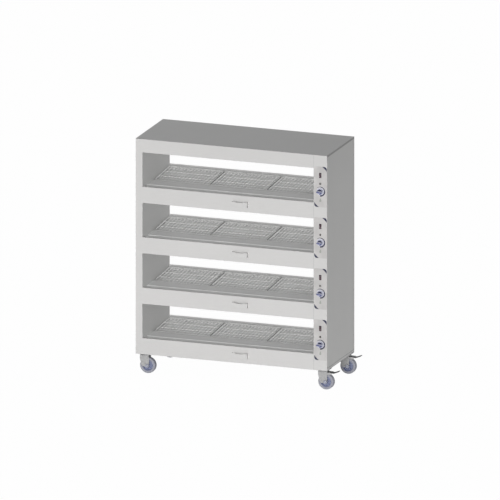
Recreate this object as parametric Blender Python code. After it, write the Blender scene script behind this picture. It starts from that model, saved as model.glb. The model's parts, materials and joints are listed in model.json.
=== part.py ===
"""Mobile heated cabinet: four sloping heated shelves, open at the front and the back, on four castors.

Metres, +Z up. +X is to the right of someone facing the cabinet, +Y points to its back.
The origin is at the centre of the whole object's footprint, on the floor.
"""

import math

import bmesh
import bpy
from mathutils import Matrix, Vector

# Cabinet
cabinet_width = 1.200
cabinet_depth = 0.476
tier_count = 4
tier_pitch = 0.308
opening_height = 0.210
top_rail_height = 0.082
left_stile_width = 0.042
control_column_width = 0.083
shelf_rise = 0.032
rear_lip_rise = 0.025
sheet = 0.0012
base_sheet = 0.0020
flange_width = 0.014
roof_flange_height = 0.011
lip_depth = 0.012
fold_set = 0.0002
seam_gap = 0.0006
fit_gap = 0.0003
overrun = 0.002
weld = 0.0002

# Pockets on the rails
pocket_width = 0.094
pocket_height = 0.031
pocket_projection = 0.022
pocket_centre_x = 0.658
thumb_notch_width = 0.044
thumb_notch_depth = 0.004

# Heated shelf, measured down from its lip
grid_sink = 0.014
deck_sink = 0.032
shelf_flange_width = 0.012
landing_depth = 0.170
bead_setback = 0.088
bead_width = 0.010
bead_top_width = 0.004
bead_height = 0.0025
ledge_width = 0.012

# Wire grids
grids_per_tier = 3
grid_gap = 0.004
frame_wire = 0.0078
cross_wire = 0.0045
slat_wire = 0.0035
slat_pitch = 0.0224
slat_rise = 0.0006
cross_wire_count = 2
grid_corner_radius = 0.016
corner_steps = 2
frame_wire_sides = 4
slat_wire_sides = 4

# Heating element under each deck
heater_diameter = 0.0085
heater_passes = 4
heater_pass_pitch = 0.068
heater_end_margin = 0.045
heater_tail = 0.022
heater_bend_steps = 4
heater_sides = 6
heater_slot_margin = 0.004

# Controls, measured down from the top rail, with a pitch of their own
control_centre_inset = 0.041
control_pitch = 0.3115
switch_drop = 0.041
lamp_drop = 0.092
knob_drop = 0.140

switch_body_width = 0.0115
switch_body_height = 0.0270
switch_body_depth = 0.0240
switch_bezel_width = 0.0140
switch_bezel_height = 0.0310
switch_bezel_depth = 0.0018
switch_wall = 0.0008
switch_well_depth = 0.0110
switch_terminal_width = 0.0048
switch_terminal_thickness = 0.0010
switch_terminal_length = 0.0080
switch_terminal_inset = 0.0070
rocker_clearance = 0.0005
rocker_angle = math.radians(9)
rocker_proud = 0.0030
rocker_dish = 0.0016
rocker_back = 0.0025
rocker_back_share = 0.7
rocker_pivot_depth = 0.0034

lamp_bezel_diameter = 0.0120
lamp_bezel_depth = 0.0016
lamp_lens_diameter = 0.0085
lamp_lens_depth = 0.0042

knob_diameter = 0.038
knob_skirt_depth = 0.008
knob_projection = 0.025
knob_grip_width = 0.012
knob_grip_tip_width = 0.006
knob_pointer_reach = 0.0215
knob_face_gap = 0.0010
knob_taper = 0.0015
knob_grip_bite = 0.0010
knob_crest_share = 0.88
shaft_diameter = 0.006
shaft_reach = 0.016
shaft_hole_clearance = 0.0010
thermostat_width = 0.040
thermostat_height = 0.046
thermostat_depth = 0.028
thermostat_boss_diameter = 0.014
thermostat_boss_length = 0.005

# Wiring
terminal_block_width = 0.030
terminal_block_height = 0.090
terminal_block_depth = 0.018
terminal_slot_width = 0.006
terminal_slot_depth = 0.005
terminal_count = 6
terminal_block_base = 0.090
gland_hex_width = 0.024
gland_hex_depth = 0.006
gland_thread_diameter = 0.0195
gland_thread_length = 0.010
gland_dome_diameter = 0.021
gland_dome_depth = 0.014
gland_bore = 0.009
gland_mouth_wall = 0.0020

# Castors
castor_height = 0.1255
wheel_diameter = 0.097
wheel_width = 0.032
castor_inset_x = 0.041
castor_inset_front = 0.057
castor_inset_rear = 0.036
castor_trail = 0.018
plate_length = 0.080
plate_width = 0.066
plate_thickness = 0.0030
race_diameter = 0.062
race_height = 0.0085
race_lip = 0.0030
kingpin_diameter = 0.012
kingpin_head_diameter = 0.020
kingpin_head_height = 0.003
fork_sheet = 0.0026
fork_inner_width = 0.037
fork_back_reach = 0.028
fork_front_reach = 0.028
fork_taper = 0.009
fork_foot_drop = 0.007
fork_foot_corner = 0.010
fork_straight_length = 0.022
axle_diameter = 0.012
axle_head_diameter = 0.018
axle_head_height = 0.005
hub_width = 0.034
hub_diameter = 0.026
web_thickness = 0.010
tyre_depth = 0.013
rim_depth = 0.004
tyre_shoulder = 0.006

# Brake pedals on the two right castors
pedal_overhang = 0.057
pedal_width = 0.028
pedal_thickness = 0.0045
pedal_tip_rise = 0.012
pedal_tip_length = 0.030
pedal_pin_diameter = 0.005
pedal_boss_diameter = 0.010
pedal_pin_inset = 0.018
pedal_pin_drop = 0.0075

round_steps = 20
small_round_steps = 12
tiny_round_steps = 8

# Derived places
cabinet_height = top_rail_height + tier_count * tier_pitch
rail_height = tier_pitch - opening_height
base_z = castor_height
top_z = base_z + cabinet_height
left_x = -(cabinet_width + pedal_overhang) / 2
front_y = (knob_projection - cabinet_depth) / 2
right_x = left_x + cabinet_width
rear_y = front_y + cabinet_depth
inner_left_x = left_x + left_stile_width
seam_x = right_x - control_column_width
slope_angle = math.atan(shelf_rise / cabinet_depth)
control_x = seam_x + control_centre_inset
roof_underside = top_z - sheet - fit_gap
fold_rise = shelf_rise * lip_depth / cabinet_depth
shaft_hole = shaft_diameter + 2 * shaft_hole_clearance
grid_width = (seam_x - inner_left_x - (grids_per_tier + 1) * grid_gap) / grids_per_tier
landing_end_y = front_y + sheet + fit_gap + shelf_flange_width + landing_depth
recess_far_y = rear_y - sheet - fit_gap - shelf_flange_width
recess_middle_y = (landing_end_y + recess_far_y) / 2
grid_run = (recess_far_y - landing_end_y - 2 * grid_gap) / math.cos(slope_angle)
frame_flat = frame_wire * math.cos(math.pi / frame_wire_sides)
wheel_z = wheel_diameter / 2
fork_top_z = base_z - 2 * fit_gap - plate_thickness - race_height
fork_under_z = fork_top_z - fork_sheet
pedal_z = fork_under_z - pedal_pin_drop


def control_top(tier):
    """Height from which a tier's switch, lamp and knob are measured down."""
    return top_z - top_rail_height - tier * control_pitch


def opening_top(tier):
    """Height of the upper edge of a tier's front opening."""
    return top_z - top_rail_height - tier * tier_pitch


def lip_height(tier):
    """Height of the lower edge of a tier's front opening."""
    return opening_top(tier) - opening_height


def rise_at(y):
    """How far the sloping shelves have risen at a place between the front and the back."""
    return shelf_rise * (y - front_y) / cabinet_depth


# Materials

def material(name, colour, roughness, metallic):
    made = bpy.data.materials.new(name)
    made.use_nodes = True
    shader = made.node_tree.nodes["Principled BSDF"]
    shader.inputs["Base Color"].default_value = (*colour, 1)
    shader.inputs["Roughness"].default_value = roughness
    shader.inputs["Metallic"].default_value = metallic
    return made


def steel(name):
    return material(name, (0.62, 0.62, 0.62), 0.38, 0.9)


def black_plastic(name):
    return material(name, (0.03, 0.03, 0.035), 0.45, 0)


def blue_plastic(name):
    return material(name, (0.10, 0.13, 0.36), 0.4, 0)


# Shapes

def mesh_of(shape):
    """A mesh from a bmesh, with its faces turned outwards."""
    bmesh.ops.recalc_face_normals(shape, faces=shape.faces)
    mesh = bpy.data.meshes.new("shape")
    shape.to_mesh(mesh)
    shape.free()
    return mesh


def place(name, mesh, finish, location=(0, 0, 0), rotation=(0, 0, 0), parent=None):
    """One named object, with its own material."""
    made = bpy.data.objects.new(name, mesh)
    bpy.context.scene.collection.objects.link(made)
    made.location = location
    made.rotation_euler = rotation
    made.parent = parent
    if not mesh.materials:
        mesh.materials.append(finish)
    return made


def spot(axis, along, first, second):
    """A point from its place along an axis and the two other coordinates, in X, Y, Z order."""
    if axis == "X":
        return Vector((along, first, second))
    if axis == "Y":
        return Vector((first, along, second))
    return Vector((first, second, along))


def prism(outline, axis, start, end, far_outline=None):
    """An outline swept straight along an axis, or towards a second outline at its far end."""
    shape = bmesh.new()
    near = [shape.verts.new(spot(axis, start, *point)) for point in outline]
    far = [shape.verts.new(spot(axis, end, *point)) for point in far_outline or outline]
    shape.faces.new(near)
    shape.faces.new(far)
    for index in range(len(outline)):
        following = (index + 1) % len(outline)
        shape.faces.new((near[index], near[following], far[following], far[index]))
    return mesh_of(shape)


def box(low, high):
    """A block between two corners."""
    outline = [(low[0], low[1]), (high[0], low[1]), (high[0], high[1]), (low[0], high[1])]
    return prism(outline, "Z", low[2], high[2])


def tube_prism(outer, inner, axis, start, end):
    """A hollow section, open at both ends, between an outer and an inner outline."""
    shape = bmesh.new()
    rings = []
    for along in (start, end):
        for outline in (outer, inner):
            rings.append([shape.verts.new(spot(axis, along, *point)) for point in outline])
    near_out, near_in, far_out, far_in = rings
    for index in range(len(outer)):
        following = (index + 1) % len(outer)
        for one, other in ((near_out, far_out), (far_out, far_in), (far_in, near_in), (near_in, near_out)):
            shape.faces.new((one[index], one[following], other[following], other[index]))
    return mesh_of(shape)


def turned(profile, steps):
    """A closed outline of (radius, height) points turned about Z; radius 0 lies on the axis."""
    shape = bmesh.new()
    rings = []
    for radius, height in profile:
        if radius == 0:
            rings.append([shape.verts.new((0, 0, height))])
            continue
        ring = []
        for step in range(steps):
            angle = 2 * math.pi * step / steps
            ring.append(shape.verts.new((radius * math.cos(angle), radius * math.sin(angle), height)))
        rings.append(ring)
    closed = profile[0][0] != 0
    spans = len(rings) if closed else len(rings) - 1
    for index in range(spans):
        lower = rings[index]
        upper = rings[(index + 1) % len(rings)]
        for step in range(steps):
            following = (step + 1) % steps
            corners = [lower[step % len(lower)], lower[following % len(lower)]]
            corners += [upper[following % len(upper)], upper[step % len(upper)]]
            distinct = list(dict.fromkeys(corners))
            if len(distinct) > 2:
                shape.faces.new(distinct)
    return mesh_of(shape)


def cylinder(diameter, low, high, steps):
    """A plain round bar along Z."""
    radius = diameter / 2
    return turned([(0, low), (radius, low), (radius, high), (0, high)], steps)


def clear_of(diameter, steps):
    """The width across corners of a hole whose flats stay clear of a pin that turns in it."""
    return (diameter + 2 * fit_gap) / math.cos(math.pi / steps)


def rod(points, diameter, sides, closed=False):
    """A wire or tube along a level path, square to the path at every bend, with a flat side below."""
    shape = bmesh.new()
    rings = []
    path = [Vector(point) for point in points]
    count = len(path)
    up = Vector((0, 0, 1))
    if closed:
        padded = [path[-1], *path, path[0]]
    else:
        padded = [2 * path[0] - path[1], *path, 2 * path[-1] - path[-2]]
    for before, point, after in zip(padded, path, padded[2:]):
        toward = (after - point).normalized()
        direction = (toward + (point - before).normalized()).normalized()
        widen = 1 / direction.dot(toward)
        side = direction.cross(up).normalized()
        ring = []
        for step in range(sides):
            angle = 2 * math.pi * (step + 1 / 2) / sides
            offset = side * math.cos(angle) * widen + side.cross(direction) * math.sin(angle)
            ring.append(shape.verts.new(point + offset * diameter / 2))
        rings.append(ring)
    for index in range(count if closed else count - 1):
        lower = rings[index]
        upper = rings[(index + 1) % count]
        for step in range(sides):
            following = (step + 1) % sides
            shape.faces.new((lower[step], lower[following], upper[following], upper[step]))
    if not closed:
        shape.faces.new(rings[0])
        shape.faces.new(rings[-1])
    return mesh_of(shape)


def moved(mesh, offset):
    mesh.transform(Matrix.Translation(offset))
    return mesh


def turned_to(mesh, axis):
    """A mesh made along Z, laid along Y or -Y: its top end then faces that way."""
    quarter = math.pi / 2
    mesh.transform(Matrix.Rotation(quarter if axis == "-Y" else -quarter, 4, "X"))
    return mesh


def gathered(meshes):
    """Several separate shapes in one mesh."""
    shape = bmesh.new()
    for mesh in meshes:
        shape.from_mesh(mesh)
        bpy.data.meshes.remove(mesh)
    mesh = bpy.data.meshes.new("shape")
    shape.to_mesh(mesh)
    shape.free()
    return mesh


def combined(first, others, operation):
    """One solid joined with others, or cut by them."""
    holder = bpy.data.objects.new("holder", first)
    bpy.context.scene.collection.objects.link(holder)
    tools = []
    for mesh in others:
        tool = bpy.data.objects.new("tool", mesh)
        bpy.context.scene.collection.objects.link(tool)
        tools.append(tool)
        modifier = holder.modifiers.new("step", "BOOLEAN")
        modifier.operation = operation
        modifier.solver = "EXACT"
        modifier.object = tool
    graph = bpy.context.evaluated_depsgraph_get()
    result = bpy.data.meshes.new_from_object(holder.evaluated_get(graph))
    for helper in (holder, *tools):
        spent = helper.data
        bpy.data.objects.remove(helper)
        bpy.data.meshes.remove(spent)
    return result


def joined(first, *others):
    return combined(first, others, "UNION")


def cut(first, *others):
    return combined(first, others, "DIFFERENCE")


def smooth(mesh):
    """Round faces shaded smooth, with the edges of the form kept sharp."""
    mesh.shade_smooth()
    mesh.set_sharp_from_angle(angle=math.radians(35))
    return mesh


# Casing and frames

def front_frame():
    """The front sheet: left stile and five rails, its openings folded inwards above and below."""
    end_x = seam_x - seam_gap
    outline = [(left_x, base_z), (end_x, base_z)]
    for tier in reversed(range(tier_count)):
        low = lip_height(tier)
        high = opening_top(tier)
        outline += [(end_x, low), (inner_left_x, low), (inner_left_x, high), (end_x, high)]
    outline += [(end_x, roof_underside), (left_x, roof_underside)]
    face = prism(outline, "Y", front_y, front_y + sheet)
    folds = []
    for tier in range(tier_count):
        for high in (lip_height(tier) - fold_set, opening_top(tier) + fold_set + sheet):
            low_corner = (inner_left_x + fit_gap, front_y + sheet - weld, high - sheet)
            folds.append(box(low_corner, (end_x - fit_gap, front_y + lip_depth, high)))
    pockets = [pocket(lip_height(tier) - rail_height / 2) for tier in range(tier_count)]
    place("front_frame", joined(face, gathered(folds), gathered(pockets)), steel("front steel"))


def pocket(middle_z):
    """A folded pocket, open at its top, welded by its back edges to the rail."""
    middle_x = left_x + pocket_centre_x
    low = Vector((middle_x - pocket_width / 2, front_y - pocket_projection, middle_z - pocket_height / 2))
    high = Vector((middle_x + pocket_width / 2, front_y + weld, middle_z + pocket_height / 2))
    inside_low = low + Vector((sheet, sheet, sheet))
    inside_high = high + Vector((-sheet, overrun, overrun))
    notch_low = (middle_x - thumb_notch_width / 2, low.y - overrun, high.z - thumb_notch_depth)
    notch_high = (middle_x + thumb_notch_width / 2, low.y + sheet + overrun, high.z + overrun)
    return cut(box(low, high), box(inside_low, inside_high), box(notch_low, notch_high))


def rear_frame():
    """The rear sheet, with four windows as high as the shelves have risen there."""
    face = box((left_x, rear_y - sheet, base_z), (right_x, rear_y, roof_underside))
    windows = []
    folds = []
    for tier in range(tier_count):
        low = lip_height(tier) + rear_lip_rise
        high = opening_top(tier) + rear_lip_rise
        window_low = (inner_left_x, rear_y - sheet - overrun, low)
        windows.append(box(window_low, (seam_x, rear_y + overrun, high)))
        for edge in (low - fold_set, high + fold_set + sheet):
            low_corner = (inner_left_x + fit_gap, rear_y - lip_depth, edge - sheet)
            folds.append(box(low_corner, (seam_x - fit_gap, rear_y - sheet + weld, edge)))
    place("rear_frame", joined(cut(face, gathered(windows)), gathered(folds)), steel("rear steel"))


def side_shell(name, outer_x, inward):
    """One outer side sheet, folded round behind the front and the rear sheets."""
    wall = outer_x + inward * sheet
    edge = outer_x + inward * flange_width
    near = front_y + sheet + fit_gap
    far = rear_y - sheet - fit_gap
    outline = [(outer_x, near), (edge, near), (edge, near + sheet), (wall, near + sheet)]
    outline += [(wall, far - sheet), (edge, far - sheet), (edge, far), (outer_x, far)]
    low = base_z + base_sheet + fit_gap
    place(name, prism(outline, "Z", low, top_z - roof_flange_height - seam_gap), steel(name + " steel"))


def roof_panel():
    """The roof sheet, with a turned-down flange at each side."""
    top = box((left_x, front_y, top_z - sheet), (right_x, rear_y, top_z))
    near = front_y + sheet + fit_gap
    far = rear_y - sheet - fit_gap
    low = top_z - roof_flange_height
    flanges = []
    for edge in (left_x, right_x - sheet):
        flanges.append(box((edge, near, low), (edge + sheet, far, top_z - sheet + weld)))
    place("roof_panel", joined(top, gathered(flanges)), steel("roof steel"))


def control_fascia():
    """The cover of the control column, cut for the controls, with a pilot lamp clipped in for each tier."""
    fold_x = seam_x + sheet + fit_gap
    back = front_y + sheet
    face = box((seam_x, front_y, base_z), (right_x, back, roof_underside))
    fold_low = (fold_x, back - weld, base_z + base_sheet + fit_gap)
    fold = box(fold_low, (fold_x + sheet, front_y + flange_width, roof_underside))
    cover = joined(face, fold)
    cuts = []
    lamps = []
    for tier in range(tier_count):
        switch_z = control_top(tier) - switch_drop
        half_width = switch_body_width / 2 + fit_gap
        half_height = switch_body_height / 2 + fit_gap
        low = (control_x - half_width, front_y - overrun, switch_z - half_height)
        cuts.append(box(low, (control_x + half_width, back + overrun, switch_z + half_height)))
        hole = turned_to(cylinder(shaft_hole, -sheet - overrun, overrun, tiny_round_steps), "-Y")
        cuts.append(moved(hole, (control_x, front_y, control_top(tier) - knob_drop)))
        lamps.append(pilot_lamp(control_top(tier) - lamp_drop))
    place("control_fascia", joined(cut(cover, gathered(cuts)), gathered(lamps)), steel("fascia steel"))


def pilot_lamp(middle_z):
    """A small round lamp: bezel and domed lens."""
    bezel = lamp_bezel_diameter / 2
    lens = lamp_lens_diameter / 2
    dome = lamp_bezel_depth + (lamp_lens_depth - lamp_bezel_depth) / 2
    profile = [(0, -weld), (bezel, -weld), (bezel, lamp_bezel_depth), (lens, lamp_bezel_depth)]
    profile += [(lens, dome), (lens / 2, lamp_lens_depth), (0, lamp_lens_depth)]
    return moved(turned_to(turned(profile, tiny_round_steps), "-Y"), (control_x, front_y, middle_z))


def inner_liner():
    """One folded sheet round the heated space: left wall, sloping ceiling and right wall."""
    near = front_y + sheet + fit_gap
    far = rear_y - sheet - fit_gap
    low = base_z + base_sheet + fit_gap
    ends = []
    for y in (near, far):
        ceiling = opening_top(0) + fold_set + sheet + fit_gap + fold_rise + rise_at(y)
        outline = [(inner_left_x - sheet, low), (inner_left_x, low), (inner_left_x, ceiling)]
        outline += [(seam_x, ceiling), (seam_x, low), (seam_x + sheet, low)]
        outline += [(seam_x + sheet, ceiling + sheet), (inner_left_x - sheet, ceiling + sheet)]
        ends.append(outline)
    liner = prism(ends[0], "Y", near, far, ends[1])
    half = heater_diameter / 2 + heater_slot_margin
    slots = []
    for tier in range(tier_count):
        for y in heater_tail_places():
            middle = heater_height(tier, y)
            low_corner = (seam_x - overrun, y - half, middle - half)
            slots.append(box(low_corner, (seam_x + sheet + overrun, y + half, middle + half)))
    place("inner_liner", cut(liner, gathered(slots)), steel("liner steel"))


def base_pan():
    """The floor of the cabinet, which carries the castors and the cable gland."""
    low = (left_x, front_y + sheet + fit_gap, base_z)
    pan = box(low, (right_x, rear_y - sheet - fit_gap, base_z + base_sheet))
    hole = cylinder(gland_thread_diameter + 2 * fit_gap, -overrun, base_sheet + overrun, small_round_steps)
    place("base_pan", cut(pan, moved(hole, (control_x, 0, base_z))), steel("base steel"))


# Heated shelves

def shelf_casing(tier):
    """One heated shelf: a sheet box with a beaded landing in front, a recess with ledges and a sunken deck."""
    near = front_y + sheet + fit_gap
    far = rear_y - sheet - fit_gap
    lip = lip_height(tier)
    under = fold_set + sheet + fit_gap
    ledge_sink = grid_sink + frame_flat + fit_gap
    flange_near = near + shelf_flange_width
    flange_far = far - shelf_flange_width
    deck_near = landing_end_y + ledge_width
    deck_far = flange_far - ledge_width
    bead_y = front_y + bead_setback
    bottom = lip - rail_height + base_sheet + fit_gap

    def section(wall):
        """The outline, or the same one drawn in by the wall."""
        foot = (bead_width - wall) / 2
        crest = (bead_top_width - wall) / 2
        points = [(near + wall, lip - under - wall), (flange_near - wall, lip - under - wall)]
        for y, sink in (
            (flange_near - wall, grid_sink),
            (bead_y - foot, grid_sink),
            (bead_y - crest, grid_sink - bead_height),
            (bead_y + crest, grid_sink - bead_height),
            (bead_y + foot, grid_sink),
            (landing_end_y - wall, grid_sink),
            (landing_end_y - wall, ledge_sink),
            (deck_near - wall, ledge_sink),
            (deck_near - wall, deck_sink),
            (deck_far + wall, deck_sink),
            (deck_far + wall, ledge_sink),
            (flange_far + wall, ledge_sink),
        ):
            points.append((y, lip + rise_at(y) - sink - wall))
        rear_lip = lip + rear_lip_rise - under - wall
        rear_bottom = bottom + shelf_rise + wall
        points += [(flange_far + wall, rear_lip), (far - wall, rear_lip), (far - wall, rear_bottom)]
        points += [(flange_far + wall, rear_bottom), (near + wall, bottom + wall)]
        return points

    casing = tube_prism(section(0), section(sheet), "X", inner_left_x + fit_gap, seam_x - fit_gap)
    place(f"heated_shelf_{tier + 1}", casing, steel(f"shelf {tier + 1} steel"))


def heater_tail_places():
    """Where the two ends of an element leave its shelf, front to back."""
    half_run = heater_pass_pitch * (heater_passes - 1) / 2 * math.cos(slope_angle)
    return (recess_middle_y - half_run, recess_middle_y + half_run)


def heater_height(tier, y):
    """The height of an element's middle line under its deck."""
    return lip_height(tier) + rise_at(y) - deck_sink - sheet - fit_gap - heater_diameter / 2


def heating_element(tier, mesh):
    location = (inner_left_x, recess_middle_y, heater_height(tier, recess_middle_y))
    finish = material(f"element {tier + 1}", (0.25, 0.24, 0.23), 0.5, 0.9)
    place(f"heating_element_{tier + 1}", mesh, finish, location, (slope_angle, 0, 0))


def element_mesh():
    """A sheathed element bent to and fro under the deck, both ends out to the right."""
    radius = heater_pass_pitch / 2
    near_x = heater_end_margin + radius
    far_x = seam_x - inner_left_x - heater_end_margin - radius
    tail_x = seam_x - inner_left_x + sheet + heater_tail
    first = -heater_pass_pitch * (heater_passes - 1) / 2
    points = [(tail_x, first, 0)]
    for turn in range(heater_passes - 1):
        middle_y = first + heater_pass_pitch * (turn + 1 / 2)
        centre_x = near_x if turn % 2 == 0 else far_x
        outward = -1 if turn % 2 == 0 else 1
        for step in range(heater_bend_steps + 1):
            angle = -math.pi / 2 + math.pi * step / heater_bend_steps
            x = centre_x + outward * radius * math.cos(angle)
            points.append((x, middle_y + radius * math.sin(angle), 0))
    points.append((tail_x, -first, 0))
    return smooth(rod(points, heater_diameter, heater_sides))


# Wire grids

def grid_mesh():
    """A lift-out grid: frame wire, cross wires under it and slat wires from front to back."""
    half_width = (grid_width - frame_wire) / 2
    half_run = (grid_run - frame_wire) / 2
    corner = grid_corner_radius
    path = []
    for quarter in range(4):
        turn = math.pi / 2 * quarter
        centre_x = (half_width - corner) * (1 if quarter in (0, 3) else -1)
        centre_y = (half_run - corner) * (1 if quarter in (0, 1) else -1)
        for step in range(corner_steps + 1):
            angle = turn + math.pi / 2 * step / corner_steps
            path.append((centre_x + corner * math.cos(angle), centre_y + corner * math.sin(angle), 0))
    frame = rod(path, frame_wire, frame_wire_sides, closed=True)
    flat_share = math.cos(math.pi / slat_wire_sides)
    cross_z = slat_rise - fit_gap - flat_share * (slat_wire + cross_wire) / 2
    slats = round((grid_width - frame_wire) / slat_pitch) - 1
    wires = []
    for number in range(1, slats + 1):
        x = -half_width + 2 * half_width * number / (slats + 1)
        wires.append(rod([(x, -half_run, slat_rise), (x, half_run, slat_rise)], slat_wire, slat_wire_sides))
    for number in range(1, cross_wire_count + 1):
        y = -half_run + 2 * half_run * number / (cross_wire_count + 1)
        wires.append(rod([(-half_width, y, cross_z), (half_width, y, cross_z)], cross_wire, slat_wire_sides))
    return joined(frame, gathered(wires))


def wire_grid(tier, column, mesh):
    names = ("left", "middle", "right")
    middle_x = inner_left_x + grid_gap + grid_width / 2 + column * (grid_width + grid_gap)
    middle_z = lip_height(tier) + rise_at(recess_middle_y) - grid_sink - frame_flat / 2
    name = f"wire_grid_{tier + 1}_{names[column]}"
    finish = material(name + " chrome", (0.72, 0.72, 0.72), 0.25, 1)
    place(name, mesh, finish, (middle_x, recess_middle_y, middle_z), (slope_angle, 0, 0))


# Controls

def switch_housing(tier):
    """A rocker switch body clipped into the cover: bezel, open well and two terminals."""
    half_width = switch_body_width / 2
    half_height = switch_body_height / 2
    middle_z = control_top(tier) - switch_drop
    front = front_y - fit_gap
    back = front + switch_body_depth
    body = box((-half_width, front - weld, -half_height), (half_width, back, half_height))
    bezel_front = front - switch_bezel_depth
    bezel_low = (-switch_bezel_width / 2, bezel_front, -switch_bezel_height / 2)
    bezel = box(bezel_low, (switch_bezel_width / 2, front, switch_bezel_height / 2))
    well_x = half_width - switch_wall
    well_z = half_height - switch_wall
    well_back = bezel_front + switch_well_depth
    well = box((-well_x, bezel_front - overrun, -well_z), (well_x, well_back, well_z))
    terminals = []
    for z in (-switch_terminal_inset, switch_terminal_inset):
        low = (-switch_terminal_width / 2, back - weld, z - switch_terminal_thickness / 2)
        high_y = back + switch_terminal_length
        terminals.append(box(low, (switch_terminal_width / 2, high_y, z + switch_terminal_thickness / 2)))
    housing = cut(joined(body, bezel, gathered(terminals)), well)
    finish = black_plastic(f"switch housing {tier + 1} plastic")
    place(f"switch_housing_{tier + 1}", moved(housing, (control_x, 0, middle_z)), finish)


def rocker(tier):
    """The rocker, pivoted across the well; at rest its upper end stands out."""
    reach = rocker_pivot_depth + rocker_proud
    well_half = switch_body_height / 2 - switch_wall
    half = (well_half - rocker_clearance - reach * math.sin(rocker_angle)) / math.cos(rocker_angle)
    half_width = switch_body_width / 2 - switch_wall - fit_gap
    back_half = half * rocker_back_share
    outline = [(-reach, half), (rocker_dish - reach, 0), (-reach, -half)]
    outline += [(rocker_back, -back_half), (rocker_back, back_half)]
    pivot_y = front_y - fit_gap - switch_bezel_depth + rocker_pivot_depth
    location = (control_x, pivot_y, control_top(tier) - switch_drop)
    finish = material(f"rocker {tier + 1} plastic", (0.20, 0.02, 0.03), 0.35, 0)
    mesh = prism(outline, "X", -half_width, half_width)
    place(f"rocker_{tier + 1}", mesh, finish, location, (rocker_angle, 0, 0))


def thermostat(tier):
    """A thermostat behind the cover, its shaft through to the knob."""
    middle_z = control_top(tier) - knob_drop
    near = front_y + sheet + fit_gap
    low = (control_x - thermostat_width / 2, near, middle_z - thermostat_height / 2)
    high = (control_x + thermostat_width / 2, near + thermostat_depth, middle_z + thermostat_height / 2)
    length = near + weld - (front_y - shaft_reach)
    shaft = turned_to(cylinder(shaft_diameter, 0, length, tiny_round_steps), "-Y")
    shaft = moved(shaft, (control_x, near + weld, middle_z))
    finish = material(f"thermostat {tier + 1} metal", (0.55, 0.53, 0.48), 0.4, 0.8)
    place(f"thermostat_{tier + 1}", joined(box(low, high), shaft), finish)


def knob_mesh():
    """A thermostat knob made along Z: tapered skirt, grip with a pointer, blind bore behind."""
    radius = knob_diameter / 2
    height = knob_projection - knob_face_gap
    top = radius - knob_taper
    inner = top - knob_taper
    profile = [(0, 0), (radius, 0), (top, knob_skirt_depth - knob_taper)]
    profile += [(inner, knob_skirt_depth), (0, knob_skirt_depth)]
    skirt = turned(profile, round_steps)
    wide = knob_grip_width / 2
    tip = knob_grip_tip_width / 2
    outline = [(-knob_pointer_reach, -tip), (0, -wide), (inner, -tip)]
    outline += [(inner, tip), (0, wide), (-knob_pointer_reach, tip)]
    crest = [(x * knob_crest_share, y * knob_crest_share) for x, y in outline]
    grip = prism(outline, "Z", knob_skirt_depth - knob_grip_bite, height, crest)
    bore_top = shaft_reach - knob_face_gap + fit_gap
    bore = cylinder(clear_of(shaft_diameter, tiny_round_steps), -overrun, bore_top, tiny_round_steps)
    return smooth(turned_to(cut(joined(skirt, grip), bore), "-Y"))


def knob(tier, mesh):
    location = (control_x, front_y - knob_face_gap, control_top(tier) - knob_drop)
    place(f"thermostat_knob_{tier + 1}", mesh, blue_plastic(f"knob {tier + 1} plastic"), location)


# Wiring

def terminal_block():
    """A strip of terminals on the liner, low in the control column."""
    back_x = seam_x + sheet + fit_gap
    front_x = back_x + terminal_block_depth
    low_z = base_z + terminal_block_base
    pitch = terminal_block_height / terminal_count
    outline = [(back_x, low_z), (front_x, low_z)]
    for number in range(terminal_count):
        middle = low_z + pitch * (number + 1 / 2)
        low = middle - terminal_slot_width / 2
        high = middle + terminal_slot_width / 2
        floor = front_x - terminal_slot_depth
        outline += [(front_x, low), (floor, low), (floor, high), (front_x, high)]
    outline += [(front_x, low_z + terminal_block_height), (back_x, low_z + terminal_block_height)]
    half = terminal_block_width / 2
    finish = material("terminal plastic", (0.75, 0.73, 0.68), 0.5, 0)
    place("terminal_block", prism(outline, "Y", -half, half), finish)


def cable_gland():
    """The gland for the mains lead in the floor of the control column, open through its middle."""
    seat = -fit_gap
    hex_low = seat - gland_hex_depth
    nut = cylinder(gland_hex_width, hex_low, seat, 6)
    thread_top = base_sheet + gland_thread_length
    thread = cylinder(gland_thread_diameter, seat - weld, thread_top, small_round_steps)
    dome_low = hex_low - gland_dome_depth
    radius = gland_dome_diameter / 2
    mouth = gland_bore / 2 + gland_mouth_wall
    bend = hex_low - gland_dome_depth / 2
    profile = [(0, dome_low), (mouth, dome_low), (radius, bend), (radius, hex_low + weld), (0, hex_low + weld)]
    dome = turned(profile, small_round_steps)
    bore = cylinder(gland_bore, dome_low - overrun, thread_top + overrun, tiny_round_steps)
    gland = cut(joined(nut, thread, dome), bore)
    place("cable_gland", smooth(moved(gland, (control_x, 0, base_z))), black_plastic("gland plastic"))


# Castors

def plate_mesh():
    """A castor's top plate with the upper ball race and the kingpin that holds the fork."""
    half_length = plate_length / 2
    half_width = plate_width / 2
    plate_low = fork_top_z + fit_gap + race_height
    plate = box((-half_length, -half_width, plate_low), (half_length, half_width, plate_low + plate_thickness))
    radius = race_diameter / 2
    low = fork_top_z + fit_gap
    profile = [(0, low), (radius - race_lip, low), (radius, low + race_lip)]
    profile += [(radius, plate_low + weld), (0, plate_low + weld)]
    race = turned(profile, round_steps)
    pin_low = fork_under_z - fit_gap - kingpin_head_height
    head_low = cylinder(kingpin_head_diameter, pin_low, pin_low + kingpin_head_height, tiny_round_steps)
    pin = cylinder(kingpin_diameter, pin_low + weld, low + weld, tiny_round_steps)
    return smooth(joined(plate, race, pin, head_low))


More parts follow.
